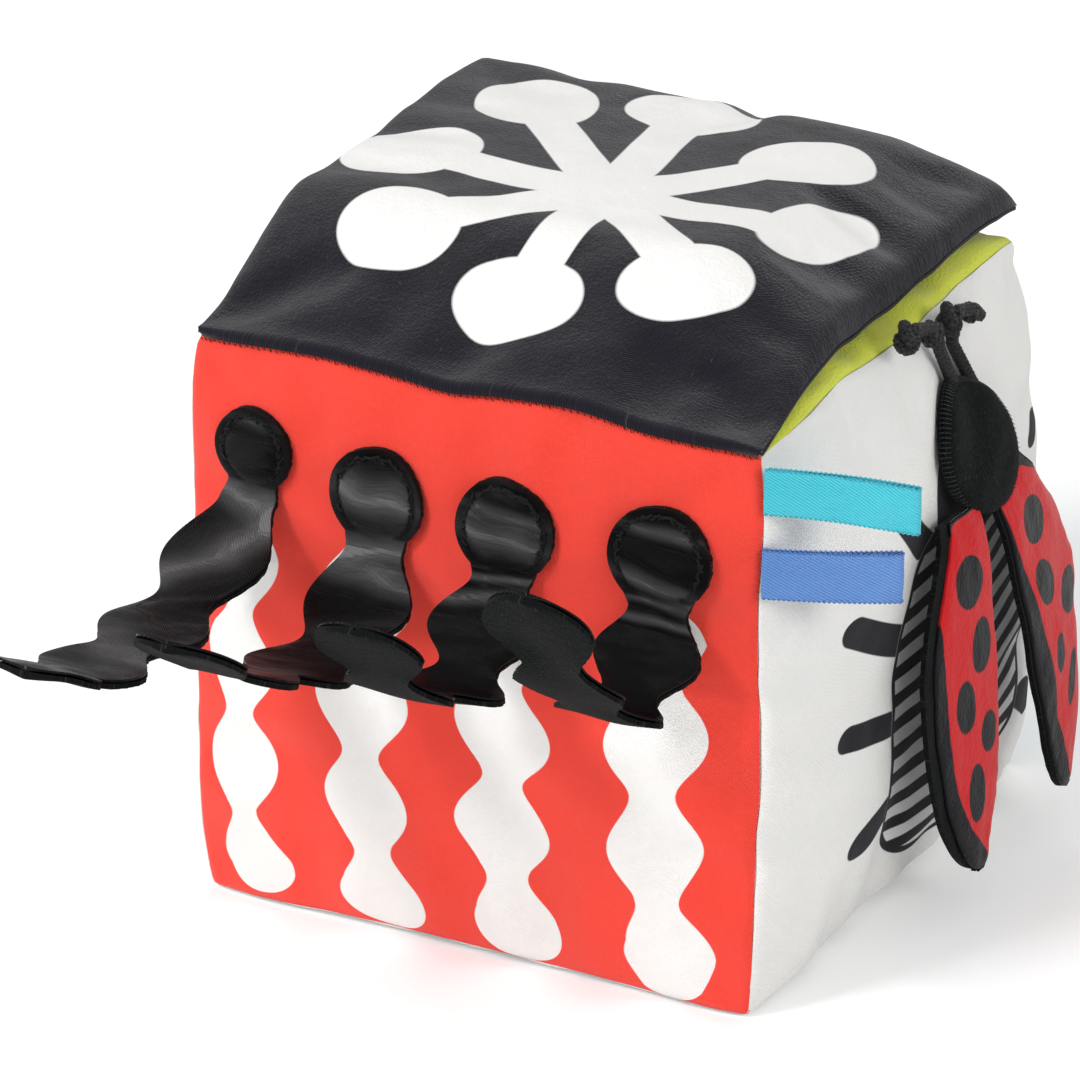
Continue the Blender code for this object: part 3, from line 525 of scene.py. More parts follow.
foam = Cloth("cream_foam", 0.95, specular=0.1)
pores_and_pore_shade = foam.grain(0.0011, detail=3.0)
# the pores are coloured darker: painted shade in their hollows
foam.coat(FOAM_CREAM, (pores_and_pore_shade.under(0.38), (0.62, 0.59, 0.50)), (foam.grain(0.02) * 0.25, (0.88, 0.87, 0.82)))
foam.nap(pores_and_pore_shade, 0.0006)
foam_spots = []
foam_faces = []
foam_laid = []
for panel in PANELS:
    shares = np.sin(np.linspace(-1.0, 1.0, FOAM_CELLS + 1) * math.pi / 2)
    first, second = PANELS[panel][2:4]
    a, b = np.meshgrid(shares * (HALF[first] - FOAM_INSIDE), shares * (HALF[second] - FOAM_INSIDE))
    foam_faces += grid_faces(FOAM_CELLS + 1, FOAM_CELLS + 1, len(foam_spots) * (FOAM_CELLS + 1) ** 2)
    foam_spots.append(cover_place(panel, a, b, -FOAM_INSIDE).reshape(-1, 3))
    foam_laid.append(foam_spots[-1])
foam_core = make_up("foam_cube", np.concatenate(foam_spots), foam_faces, foam, np.concatenate(foam_laid))
welder = bmesh.new()
welder.from_mesh(foam_core.data)
bmesh.ops.remove_doubles(welder, verts=welder.verts, dist=0.0004)
bmesh.ops.recalc_face_normals(welder, faces=welder.faces)
welder.to_mesh(foam_core.data)
welder.free()
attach(foam_core, "block")
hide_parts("foam_core")


# Six cotton panels, cut square, printed and sewn edge to edge with a turned seam. The cloth rolls
# into each seam, and small folds run away from it where the stitching gathers the cotton.
SEAM_ROUND = 0.0036
SEAM_GROOVE = 0.0008
PANEL_CELLS = 84
COTTON_PITCH = 0.00065
FOLD_REACH = 0.013
FOLD_START = 0.0035
RED = (0.90, 0.064, 0.042)
PRINT_WHITE = (0.90, 0.89, 0.87)
PANEL_WHITE = (0.86, 0.855, 0.835)
INK = (0.0095, 0.0085, 0.0120)
GREY_INK = (0.82, 0.82, 0.81)
LIME = (0.74, 0.80, 0.075)
TEAL = (0.02, 0.20, 0.23)
FOLD_HEIGHTS = {
    "front_panel": {"top": 0.0011, "bottom": 0.0006, "low": 0.0006, "high": 0.0007},
    "right_panel": {"top": 0.0012, "bottom": 0.0007, "low": 0.0008, "high": 0.0006},
    "left_panel": {"top": 0.0009, "bottom": 0.0006, "low": 0.0006, "high": 0.0006},
    "back_panel": {"top": 0.0009, "bottom": 0.0006, "low": 0.0006, "high": 0.0006},
    "top_panel": {"top": 0.0003, "bottom": 0.0002, "low": 0.0003, "high": 0.0004},
    "bottom_panel": {"top": 0.0, "bottom": 0.0, "low": 0.0, "high": 0.0},
}
# each column: its middle, the lowest bead's height, pitch, bead and neck half widths, lowest bead's
# half width and how much shorter its end is, slant of the beads, shift of its top, height of its top
COLUMNS = (
    (-0.0602, 0.0115, 0.0273, 0.0101, 0.0041, 0.0115, 1.44, 0.02, 0.0030, 0.1065),
    (-0.0256, 0.0102, 0.0268, 0.0121, 0.0053, 0.0118, 1.38, 0.08, 0.0012, 0.1045),
    (0.0110, 0.0104, 0.0269, 0.0130, 0.0057, 0.0120, 1.32, 0.08, 0.0000, 0.0960),
    (0.0512, 0.0138, 0.0278, 0.0128, 0.0060, 0.0118, 0.93, -0.14, 0.0000, 0.1035),
)
COLUMN_FOOT_SHIFT = 0.0032
BODY_Y = 0.0215
BODY_Z = 0.0520
BODY_HALF_WIDTH = 0.0390
BODY_UP = 0.0485
BODY_DOWN = 0.0400
BODY_LINE = 0.0017
BODY_SQUARE = 3.9
COLLAR_LOW = 0.0980
COLLAR_HIGH = 0.1060
COLLAR_HALF = 0.0150
STRIPES_TOP = 0.0985
STRIPE_PITCH = 0.0069
STRIPE_MIDDLE_Y = 0.001
STRIPE_BEND = 2.45
LEGS = (
    ((-0.0125, 0.1070), (0.0010, 0.0940), 0.0028),
    ((-0.0375, 0.0872), (-0.0110, 0.0740), 0.0034),
    ((-0.0395, 0.0604), (-0.0160, 0.0540), 0.0031),
    ((-0.0310, 0.0292), (-0.0140, 0.0320), 0.0037),
    ((0.0640, 0.0936), (0.0700, 0.0968), 0.0022),
    ((0.0640, 0.0640), (0.0735, 0.0580), 0.0036),
    ((0.0625, 0.0262), (0.0705, 0.0206), 0.0034),
)


def seam_profile(half):
    """From one seam to the other: where each row lies, and how deep it rolls in."""
    corner = SEAM_ROUND * (1.0 - math.sqrt(0.5))
    rows = [(corner + SEAM_GROOVE, corner + SEAM_GROOVE)]
    for angle in (45.0, 32.0, 20.0, 9.0):
        turn = math.radians(angle)
        rows.append((SEAM_ROUND * (1.0 - math.sin(turn)), SEAM_ROUND * (1.0 - math.cos(turn))))
    inner = np.linspace(-half + SEAM_ROUND, half - SEAM_ROUND, PANEL_CELLS + 1)
    places = [-half + e for e, _ in rows] + list(inner) + [half - e for e, _ in reversed(rows)]
    depths = [d for _, d in rows] + [0.0] * len(inner) + [d for _, d in reversed(rows)]
    return np.array(places), np.array(depths)


def seam_folds(panel, a, b):
    """Small folds that start at each seam and die out inwards."""
    first, second = PANELS[panel][2:4]
    heights = FOLD_HEIGHTS[panel]
    seed = 10 * list(PANELS).index(panel)
    total = 0.0
    edges = (("top", HALF[second] - b, a), ("bottom", HALF[second] + b, a),
             ("low", HALF[first] + a, b), ("high", HALF[first] - a, b))
    for number, (edge, gap, run) in enumerate(edges):
        fade = np.exp(-gap / FOLD_REACH) * ease(gap / FOLD_START)
        total = total + heights[edge] * fade * wander(seed + number, 0.017, run, gap * 0.25)
    middle = crowned(a / HALF[first]) * crowned(b / HALF[second])
    return total + 0.00035 * wander(seed + 7, 0.055, a, b) * middle


def make_panel(panel, cloth):
    first, second = PANELS[panel][2:4]
    places_a, depths_a = seam_profile(HALF[first])
    places_b, depths_b = seam_profile(HALF[second])
    a, b = np.meshgrid(places_a, places_b)
    deep_a, deep_b = np.meshgrid(depths_a, depths_b)
    lift = seam_folds(panel, a, b) - np.sqrt(deep_a ** 2 + deep_b ** 2)
    outer = cover_place(panel, a, b, lift)
    inner = cover_place(panel, a * 0.995, b * 0.995, lift - PANEL_CLOTH)
    outer[..., 2] = np.maximum(outer[..., 2], 0.0)
    inner[..., 2] = np.maximum(inner[..., 2], PANEL_CLOTH)
    spots, faces = two_layers(outer, inner)
    height = b + (HALF[2] if second == 2 else 0.0)
    laid = np.stack([a, height, np.zeros_like(a)], -1)
    piece = make_up(panel.replace("_panel", "_cotton"), spots, faces, cloth, np.concatenate([laid, laid]))
    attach(piece, "block")
    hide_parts(panel)
    return piece


def weave(cloth, pitch, depth, unevenness=0.5):
    """The fine slanting lines of the cotton, with thicker and thinner threads."""
    lines = cloth.twill(pitch)
    slubs = cloth.grain(pitch * 2.2, detail=3.0)
    cloth.nap(lines * 0.35 + slubs * unevenness + cloth.grain(0.006) * 1.5, depth)
    return lines


def capsule(cloth, start, end, radius, squeeze=1.0):
    """How far a point is outside a round-ended bar, whose ends are drawn long where squeeze is small."""
    (ax, ay), (bx, by) = start, end
    dx, dy = (bx - ax) * squeeze, by - ay
    span = dx * dx + dy * dy
    here = (cloth.along - ax) * squeeze
    share = (here * (dx / span) + (cloth.across - ay) * (dy / span)).most(0.0).least(1.0)
    off_x = here - share * dx
    off_y = cloth.across - ay - share * dy
    return (off_x * off_x + off_y * off_y).root() - radius


# the front's print: four white columns of beads on red
red_cotton = Cloth("red_printed_cotton", 0.82, specular=0.18, sheen=0.12)
low_down = ((0.0270 - red_cotton.across) / 0.0120).most(0.0).least(1.0)
high_up = ((red_cotton.across - 0.0740) / 0.0200).most(0.0).least(1.0)
beads = None
for middle, foot, pitch, bead, neck, foot_bead, shorter, slant, top_shift, column_top in COLUMNS:
    aside = red_cotton.along - middle - low_down * COLUMN_FOOT_SHIFT - high_up * top_shift
    up = red_cotton.across + aside * slant
    bead_here = low_down * (foot_bead - bead) + bead
    swell = ((up - foot) * (math.pi / pitch) + math.pi / 2).wave() ** 2.0
    half = (swell * (bead_here * bead_here - neck ** 2) + neck ** 2).root()
    below = (foot - up).most(0.0) * shorter
    half = half.least((foot_bead ** 2 - below * below).most(0.0).root() + (up - foot).most(0.0) * 3.0)
    above = (red_cotton.across - (column_top - bead)).most(0.0)
    half = half.least((bead ** 2 - above * above).most(0.0).root()
                      + (column_top - bead - red_cotton.across).most(0.0) * 3.0)
    column = (abs(aside) - half + 0.0002).inked()
    beads = column if beads is None else beads.most(column)
threads = weave(red_cotton, COTTON_PITCH, 0.00016)
red_shade = red_cotton.grain(0.0008, detail=3.0) * 0.35 + threads * 0.08
red_cotton.coat(RED, (red_shade, (0.70, 0.035, 0.022)), (beads, PRINT_WHITE),
                (beads * red_cotton.grain(0.0009, detail=3.0) * 0.22, (0.74, 0.73, 0.71)))
make_panel("front_panel", red_cotton)

# the right side's print: the ladybird's striped body and its legs, under the felt and satin one
bug_cotton = Cloth("white_ladybird_cotton", 0.84, specular=0.18, sheen=0.10)
body_up = bug_cotton.across - BODY_Z
body_side = abs(bug_cotton.along - BODY_Y)


def body_edge(shrink):
    """How far a place is outside the body: round above its middle, squarer below."""
    wide = BODY_HALF_WIDTH - shrink
    above, below = body_up.most(0.0), (body_up * -1.0).most(0.0)
    upper = (body_side / wide) ** 2.0 + (above / (BODY_UP - shrink)) ** 2.0
    lower = (body_side / wide) ** BODY_SQUARE + (below / (BODY_DOWN - shrink)) ** BODY_SQUARE
    return (upper.most(lower) - 1.0) * (BODY_HALF_WIDTH / 3.0)


stripe_off = bug_cotton.along - STRIPE_MIDDLE_Y
stripe_place = bug_cotton.across - stripe_off * stripe_off * STRIPE_BEND
stripes = (abs(stripe_place.wrap(STRIPE_PITCH / 2, -STRIPE_PITCH / 2)) - STRIPE_PITCH * 0.25).inked()
body = body_edge(0.0).inked()
body_inside = body_edge(BODY_LINE).inked() * (bug_cotton.across - STRIPES_TOP).inked()
dark = body * (1.0 - body_inside * stripes)
for start, end, thick in LEGS:
    dark = dark.most(capsule(bug_cotton, start, end, thick, 0.55).inked() * (1.0 - body))
dark = dark.most(capsule(bug_cotton, (BODY_Y, COLLAR_LOW), (BODY_Y, COLLAR_HIGH), COLLAR_HALF).inked())
light_stripe = body_inside * stripes * 0.9
weave(bug_cotton, COTTON_PITCH, 0.00014)
bug_cotton.coat(PANEL_WHITE, (bug_cotton.grain(0.0009, detail=3.0) * 0.20, (0.70, 0.69, 0.66)),
                (light_stripe, GREY_INK), (dark, INK))
make_panel("right_panel", bug_cotton)

# the three plain panels: white at the left and under the block, teal behind
WHITE_FLECK = (0.70, 0.69, 0.66)
TEAL_FLECK = (0.012, 0.14, 0.165)
for panel, cloth_name, slot, colour, fleck, share, depth, sheen in (
        ("left_panel", "white_left_cotton", "left_fabric", PANEL_WHITE, WHITE_FLECK, 0.20, 0.00014, 0.10),
        ("back_panel", "teal_back_cotton", "back_fabric", TEAL, TEAL_FLECK, 0.35, 0.00015, 0.12),
        ("bottom_panel", "white_base_cotton", "base_fabric", PANEL_WHITE, WHITE_FLECK, 0.20, 0.00014, 0.10)):
    plain_cotton = Cloth(cloth_name, 0.84, specular=0.18, sheen=sheen)
    weave(plain_cotton, COTTON_PITCH, depth)
    plain_cotton.coat(colour, (plain_cotton.grain(0.0009, detail=3.0) * share, fleck))
    make_panel(panel, plain_cotton)

lime_plush = Cloth("lime_plush", 0.90, specular=0.10, sheen=0.30)
tufts = lime_plush.grain(0.0007, detail=3.0)
brushed = lime_plush.grain(0.006, detail=2.0, stretch=(1.0, 0.5, 1.0))
lime_plush.nap(tufts + brushed * 1.2, 0.0005)
lime_plush.coat(LIME, (tufts * 0.35, (0.44, 0.50, 0.040)), (brushed * 0.25, (0.64, 0.70, 0.12)))
make_panel("top_panel", lime_plush)


# Four wavy strips, each one length of black satin on black felt: a round head sewn to the front
# with a ring of close stitches, and a free tail of four beads that curls out and up.
STRIP_NAMES = ("strip_1", "strip_2", "strip_3", "strip_4")
FIRST_HEAD_X = -0.0548
HEAD_PITCH = 0.0356
HEAD_HEIGHT = 0.1163
BEAD_RADIUS = 0.0133
BEAD_PITCH = 0.0255
NECK_HALF = 0.0073
CHORD_SHARE = 0.76
SATIN = 0.0005
FELT = 0.0011
PLY = 0.00015
HEAD_OFF_PANEL = 0.0003 + FELT + PLY
STRIP_ROWS = 120
STRIP_COLUMNS = 18
RING_INSET = 0.0023
STITCH_RADIUS = 0.00030
STITCH_PITCH = 0.00058
STITCH_START = math.radians(-28.0)
STITCH_TURN = math.radians(236.0)
# each crease: beads down from the head's middle, tilt, depth, half width
CREASES = (
    ((-0.20, 0.10, 0.0005, 0.070), (0.10, -0.12, 0.0007, 0.060),
     (0.62, 0.10, 0.0006, 0.10), (1.45, -0.2, 0.0008, 0.12)),
    ((-0.12, 0.05, 0.0006, 0.060), (0.30, 0.06, 0.0011, 0.045),
     (0.62, -0.04, 0.0004, 0.06), (1.50, 0.1, 0.0006, 0.12)),
    ((-0.10, 0.10, 0.0006, 0.050), (0.34, -0.05, 0.0010, 0.045),
     (0.56, -0.08, 0.0010, 0.040), (0.73, -0.06, 0.0007, 0.045)),
    ((-0.18, 0.16, 0.0006, 0.050), (0.16, 0.20, 0.0012, 0.050),
     (0.52, 0.10, 0.0010, 0.050), (0.70, 0.08, 0.0006, 0.05)),
)
# where painted highlight bands lie on the satin: beads down from the head's middle, tilt, half width, strength
PAINTED_HIGHLIGHT_BANDS = (
    ((-0.28, 0.0, 0.07, 0.30), (0.46, 0.08, 0.17, 0.85),
     (0.98, -0.42, 0.24, 0.85), (2.55, 0.2, 0.35, 0.35)),
    ((-0.02, 0.04, 0.20, 0.85), (0.50, -0.03, 0.14, 1.00),
     (0.74, 0.05, 0.13, 0.60), (1.30, -0.2, 0.10, 0.10)),
    ((-0.17, 0.05, 0.07, 0.60), (0.07, 0.05, 0.15, 0.70),
     (0.47, -0.05, 0.035, 1.00), (0.66, -0.10, 0.09, 0.75)),
    ((-0.27, 0.05, 0.06, 0.70), (0.26, 0.12, 0.08, 0.80),
     (0.44, 0.06, 0.05, 0.60), (0.62, 0.02, 0.04, 0.95)),
)
HEAD_SIZES = (0.78, 0.93, 0.94, 0.96)
HEAD_SHIFTS = (0.0, -0.15, -0.27, 0.0)
HEAD_LIFTS = (0.22, 0.03, 0.00, 0.02)
CURLS = (
    ((0.71, 0.80), (1.82, 1.04), (2.89, 0.98), (3.63, 0.69)),
    ((0.36, 0.91), (1.45, 1.09), (2.43, 0.72), (3.31, 0.18)),
    ((0.46, 0.80), (0.99, 1.15), (1.96, 0.73), (2.49, 0.13)),
    ((0.24, 0.86), (0.97, 1.09), (1.74, 0.52), (2.31, -0.27)),
)


def front_y(x, z):
    return cover_place("front_panel", x, z - HALF[2], 0.0)[..., 1]


def head_middle(index):
    x = FIRST_HEAD_X + index * HEAD_PITCH + HEAD_SHIFTS[index] * BEAD_RADIUS
    return x, HEAD_HEIGHT + HEAD_LIFTS[index] * BEAD_PITCH


def strip_half(index, t):
    """Half the strip's width, t beads down from the middle of its head."""
    radius = BEAD_RADIUS * HEAD_SIZES[index]
    bend = radius * CHORD_SHARE / BEAD_PITCH
    if t < bend:
        return math.sqrt(max(0.0, radius ** 2 - (t * BEAD_PITCH) ** 2))
    if t > 4.0:
        return BEAD_RADIUS * math.sqrt(max(0.0, 1.0 - ((t - 4.0) * BEAD_PITCH / BEAD_RADIUS) ** 2))
    if t < 0.5:
        chord = radius * math.sqrt(1.0 - CHORD_SHARE ** 2)
        return chord + (NECK_HALF - chord) * float(ease((t - bend) / (0.5 - bend)))
    swell = math.cos(math.pi * t) ** 2
    return math.sqrt(NECK_HALF ** 2 + (BEAD_RADIUS ** 2 - NECK_HALF ** 2) * swell)


def strip_knots(index):
    """The strip's middle line: (t, y, z) at its head, neck, beads and tip."""
    x, z = head_middle(index)
    bend = BEAD_RADIUS * HEAD_SIZES[index] * CHORD_SHARE / BEAD_PITCH
    neck_z = z - bend * BEAD_PITCH
    y = float(front_y(x, z)) - HEAD_OFF_PANEL
    knots = [(0.0, y, z), (bend, float(front_y(x, neck_z)) - HEAD_OFF_PANEL, neck_z)]
    for bead, (out, down) in enumerate(CURLS[index], start=1):
        knots.append((float(bead), y - out * BEAD_PITCH, z - down * BEAD_PITCH))
    (_, y1, z1), (t2, y2, z2) = knots[-2:]
    end = BEAD_RADIUS / BEAD_PITCH
    knots.append((t2 + end, y2 + (y2 - y1) * end, z2 + (z2 - z1) * end))
    return knots


def strip_line(knots, t):
    """The middle line at t: its place and the way it runs."""
    def slope(k, axis):
        before = knots[max(k - 1, 0)]
        after = knots[1] if k == 1 else knots[min(k + 1, len(knots) - 1)]
        return (after[axis] - before[axis]) / (after[0] - before[0])

    k = 0
    while k < len(knots) - 2 and t > knots[k + 1][0]:
        k += 1
    a, b = knots[k], knots[k + 1]
    span = b[0] - a[0]
    s = (t - a[0]) / span
    place = []
    heading = []
    for axis in (1, 2):
        m0, m1 = slope(k, axis) * span, slope(k + 1, axis) * span
        place.append((2 * s ** 3 - 3 * s ** 2 + 1) * a[axis] + (s ** 3 - 2 * s ** 2 + s) * m0
                     + (3 * s ** 2 - 2 * s ** 3) * b[axis] + (s ** 3 - s ** 2) * m1)
        heading.append((6 * s ** 2 - 6 * s) * a[axis] + (3 * s ** 2 - 4 * s + 1) * m0
                       + (6 * s - 6 * s ** 2) * b[axis] + (3 * s ** 2 - 2 * s) * m1)
    run = math.hypot(*heading)
    return place, (heading[0] / run, heading[1] / run)


def strip_rows(index):
    """t for each row, closer together at the two round ends."""
    radius = BEAD_RADIUS * HEAD_SIZES[index] / BEAD_PITCH
    tip = BEAD_RADIUS / BEAD_PITCH
    head = [-radius * math.cos(a) for a in np.linspace(0.03, math.pi / 2, 18)]
    end = [4.0 + tip * math.sin(a) for a in np.linspace(0.0, math.pi / 2 - 0.03, 18)]
    return head + list(np.linspace(0.0, 4.0, STRIP_ROWS)[1:-1]) + end


def strip_sheet(index, low, high, shape, edge_wander=0.0, shine=None):
    """A length of cloth along the strip, between two heights over its middle line."""
    x0, z0 = head_middle(index)
    knots = strip_knots(index)
    bend = knots[1][0]
    rows = strip_rows(index)
    shares = np.sin(np.linspace(-1.0, 1.0, STRIP_COLUMNS + 1) * math.pi / 2)
    layers = {low: [], high: []}
    laid = []
    for number, t in enumerate(rows):
        half = strip_half(index, t)
        half += edge_wander * math.sin(number * 2.4) * math.sin(number * 0.77)
        a = shares * half
        height = shape(t, a, half)
        for level, rows_here in layers.items():
            lift = level + height
            x = x0 + a
            if t <= bend:
                z = np.full_like(a, z0 - t * BEAD_PITCH)
                y = front_y(x, z) - HEAD_OFF_PANEL - lift
                line = np.stack([x, y, z], -1)
            else:
                (y, z), (run_y, run_z) = strip_line(knots, t)
                line = np.stack([x, y + run_z * lift, z - run_y * lift], -1)
                fade = float(ease((t - bend) / 0.15))
                flat = front_y(x, np.full_like(a, z)) - front_y(x0, z)
                line[:, 1] += (1.0 - fade) * flat
            rows_here.append(line)
        # the third laid value is each place's share of painted highlight, from shine
        painted_highlight_share = shine(t, a) if shine else np.zeros_like(a)
        laid.append(np.stack([a, np.full_like(a, -t * BEAD_PITCH), painted_highlight_share], -1))
    spots, faces = two_layers(np.array(layers[high]), np.array(layers[low]))
    laid = np.array(laid).reshape(-1, 3)
    return spots, faces, np.concatenate([laid, laid])


def thread_tubes(paths, radius, sides=6):
    """Round threads along paths of points, as one mesh; each lays out (along, around)."""
    spots, faces, laid = [], [], []
    angles = np.arange(sides) * 2.0 * math.pi / sides
    start = 0
    for path in paths:
        path = np.asarray(path, float)
        count = len(path)
        run = np.gradient(path, axis=0)
        run /= np.linalg.norm(run, axis=1)[:, None] + 1e-12
        guide = np.array([0.31, 0.42, 0.85])
        side = np.cross(run, guide)
        side /= np.linalg.norm(side, axis=1)[:, None] + 1e-12
        other = np.cross(run, side)
        travelled = np.concatenate([[0.0], np.cumsum(np.linalg.norm(np.diff(path, axis=0), axis=1))])
        thick = np.broadcast_to(np.asarray(radius, float), (count,)).copy()
        thick[0] *= 0.55
        thick[-1] *= 0.55
        ring = (side[:, None, :] * np.cos(angles)[None, :, None]
                + other[:, None, :] * np.sin(angles)[None, :, None])
        spots.append((path[:, None, :] + ring * thick[:, None, None]).reshape(-1, 3))
        laid.append(np.stack([np.repeat(travelled, sides), np.tile(angles * float(np.mean(thick)), count),
                              np.zeros(count * sides)], -1))
        for k in range(count - 1):
            for j in range(sides):
                n = (j + 1) % sides
                a = start + k * sides
                faces.append((a + j, a + n, a + sides + n, a + sides + j))
        faces.append(tuple(start + j for j in reversed(range(sides))))
        faces.append(tuple(start + (count - 1) * sides + j for j in range(sides)))
        start += count * sides
    return np.concatenate(spots), faces, np.concatenate(laid)


satin = Cloth("black_satin", 0.30, specular=0.08)
satin_lines = satin.twill(0.00072)
satin_creases = satin.grain(0.005, detail=2.0, stretch=(0.5, 1.3, 1.0))
satin.nap(satin_lines * 0.34 + satin.grain(0.0012, detail=3.0) * 0.6 + satin_creases * 4.0, 0.00015)
# painted highlight: pale grey mixed into the black satin in the bands above, standing in for the shine of the
# lamps where it bends
painted_highlight_mask = satin.third * (satin_lines * 0.16 + 0.84) * (satin.grain(0.0011, detail=3.0) * 0.5 + 0.75)
satin.coat((0.0016, 0.0016, 0.0018), (satin_lines * 0.15 + 0.15, (0.005, 0.005, 0.006)),
           (painted_highlight_mask, (0.168, 0.164, 0.169)))

felt = Cloth("black_green_felt", 0.95, specular=0.05, sheen=0.05)
felt_fibres = felt.grain(0.00045, detail=4.0, stretch=(1.0, 0.7, 1.0))
felt.nap(felt_fibres * 1.4 + felt.grain(0.0022, detail=4.0) * 0.8, 0.00028)
pale_fibres = (felt.grain(0.0004, detail=4.0, stretch=(1.0, 0.35, 1.0)) - 0.60).most(0.0) * 4.0
felt.coat((0.0030, 0.0037, 0.0038), (felt.grain(0.0016, detail=4.0) * 0.55, (0.0095, 0.0112, 0.0114)),
          (felt_fibres.under(0.40) * 0.5, (0.0022, 0.0027, 0.0028)), (pale_fibres, (0.070, 0.076, 0.076)))

black_thread = Cloth("black_thread", 0.50, specular=0.30)
twist_and_highlight = ((black_thread.along + black_thread.across * 2.0) * (2.0 * math.pi / 0.00045)).wave()
black_thread.nap(twist_and_highlight, 0.00008)
# lighter along the twist: painted highlight on the ply ridges; the twist's relief itself is real
black_thread.coat((0.004, 0.004, 0.005), (twist_and_highlight * 0.3, (0.022, 0.022, 0.024)))

for index, body_name in enumerate(STRIP_NAMES):
    x0, z0 = head_middle(index)
    radius = BEAD_RADIUS * HEAD_SIZES[index]
    ring = radius - RING_INSET
    bend = radius * CHORD_SHARE / BEAD_PITCH

    def strip_waves(t, a, half):
        """The slow waves and the cupping that both cloths share below the head."""
        tail = float(ease((t - bend) / 0.4))
        waves = 0.00045 * wander(60 + index, 0.020, a, np.full_like(a, t * BEAD_PITCH))
        return tail * (waves + 0.0008 * math.sin(math.pi * t) * (a / max(half, 1e-6)) ** 2)

    def satin_shape(t, a, half):
        """Puffed inside the stitched ring, pulled in along it, and creased across."""
        away = np.hypot(a, t * BEAD_PITCH)
        groove = -0.00050 * np.exp(-((away - ring) / 0.0008) ** 2)
        puff = 0.0009 * np.clip(1.0 - (away / ring) ** 2, 0.0, 1.0) ** 0.35
        on_head = 1.0 - float(ease((t - bend + 0.1) / 0.2))
        creases = 0.0
        for middle, tilt, depth, wide in CREASES[index]:
            off = (t - middle - tilt * a / BEAD_RADIUS) / wide
            creases = creases + depth * (0.8 * np.exp(-(off - 1.3) ** 2) - np.exp(-off ** 2))
        inside = ease((ring - away) / 0.0025) if t < bend else ease((half - np.abs(a)) / 0.0012)
        fine = 0.00022 * wander(80 + index, 0.006, a * 0.45, np.full_like(a, t * BEAD_PITCH))
        return on_head * (groove + puff) + (creases * 0.55 + fine) * inside + strip_waves(t, a, half)

    def painted_satin_highlight(t, a):
        """How much painted highlight each place gets, from 0 to 1, in soft bands across the strip, with little
        of it beyond the stitched ring on the head.
        """
        total = 0.0
        for middle, tilt, wide, strength in PAINTED_HIGHLIGHT_BANDS[index]:
            off = (t - middle - tilt * a / BEAD_RADIUS) / wide
            off = off + 0.25 * wander(95 + index, 0.012, a, np.full_like(a, t * BEAD_PITCH))
            total = total + strength * np.exp(-np.abs(off) ** 2.4)
        rim = ease((np.hypot(a, t * BEAD_PITCH) - ring + 0.0004) / 0.0008) if t < bend else 0.0
        return np.clip(total, 0.0, 1.0) * (1.0 - 0.8 * rim)

    def felt_shape(t, a, half):
        return strip_waves(t, a, half) - 0.0005 * ease((t - bend) / 0.3)

    (hinge_y, hinge_z), _ = strip_line(strip_knots(index), bend)
    blend_start = (x0, hinge_y + 0.0008, hinge_z + 0.0008)
    blend_end = (x0, hinge_y - 0.0030, hinge_z - 0.0030)
    rows = strip_rows(index)
    area = 2.0 * np.trapz([strip_half(index, t) for t in rows], [t * BEAD_PITCH for t in rows])

    spots, faces, laid = strip_sheet(index, -PLY / 2 - FELT, -PLY / 2, felt_shape, 0.00022)
    back = make_up(f"{body_name}_felt", spots, faces, felt, laid)
    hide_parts(f"{body_name}_head_felt", f"{body_name}_tail_felt")
    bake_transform(back)

    spots, faces, laid = strip_sheet(index, 0.0, SATIN, satin_shape, shine=painted_satin_highlight)
    face = make_up(f"{body_name}_satin", spots, faces, satin, laid)
    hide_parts(f"{body_name}_head_satin", f"{body_name}_tail_satin")
    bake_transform(face)

    chance = np.random.default_rng(300 + index)
    stitches = []
    count = int(ring * STITCH_TURN / STITCH_PITCH)
    for k in range(count):
        turn = STITCH_START + STITCH_TURN * (k + chance.uniform(-0.3, 0.3)) / count
        middle = ring + chance.uniform(-0.00055, 0.00055)
        slant = chance.choice((-1.0, 1.0)) * chance.uniform(0.15, 0.75)
        reach = chance.uniform(0.0007, 0.0013)
        path = []
        for s in np.linspace(-1.0, 1.0, 5):
            here = turn + s * reach * math.cos(slant) / ring
            wide = middle + s * reach * math.sin(slant)
            x = x0 + wide * math.cos(here)
            z = z0 + wide * math.sin(here)
            path.append((x, float(front_y(x, z)) - 0.0003 - FELT - PLY - SATIN
                         + 0.00055 - (0.00050 + 0.00020 * (k % 3)) * (1.0 - s * s), z))
        stitches.append(path)
    spots, faces, laid = thread_tubes(stitches, STITCH_RADIUS)
    sewing = make_up(f"{body_name}_ring_stitches", spots, faces, black_thread, laid)
    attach(sewing, "block")


# Two ribbon tags, each a length of satin ribbon folded in two and sewn into the front right seam,
# with woven lines that slant across it and a row of tiny loops along each edge.
RIBBON_CLOTH = 0.00035
RIBBON_GAP = 0.0010
RIBBON_TURN = 0.0010
RIBBON_ROWS = 40
RIBBON_COLUMNS = 15
LOOP_PITCH = 0.00115
RIBBON_WEAVE_SHARE = 0.88
# each ribbon: its two colours, its reach out and aside, width, height and bow
RIBBONS = {
    "ribbon_teal": ((0.018, 0.43, 0.54), (0.10, 0.62, 0.72),
                    0.0362, 0.0064, 0.0120, BLOCK_HEIGHT - 0.0120, 0.0012),
    "ribbon_blue": ((0.065, 0.19, 0.53), (0.14, 0.31, 0.66),
                    0.0296, 0.0135, 0.0130, BLOCK_HEIGHT - 0.0326, -0.0008),
}

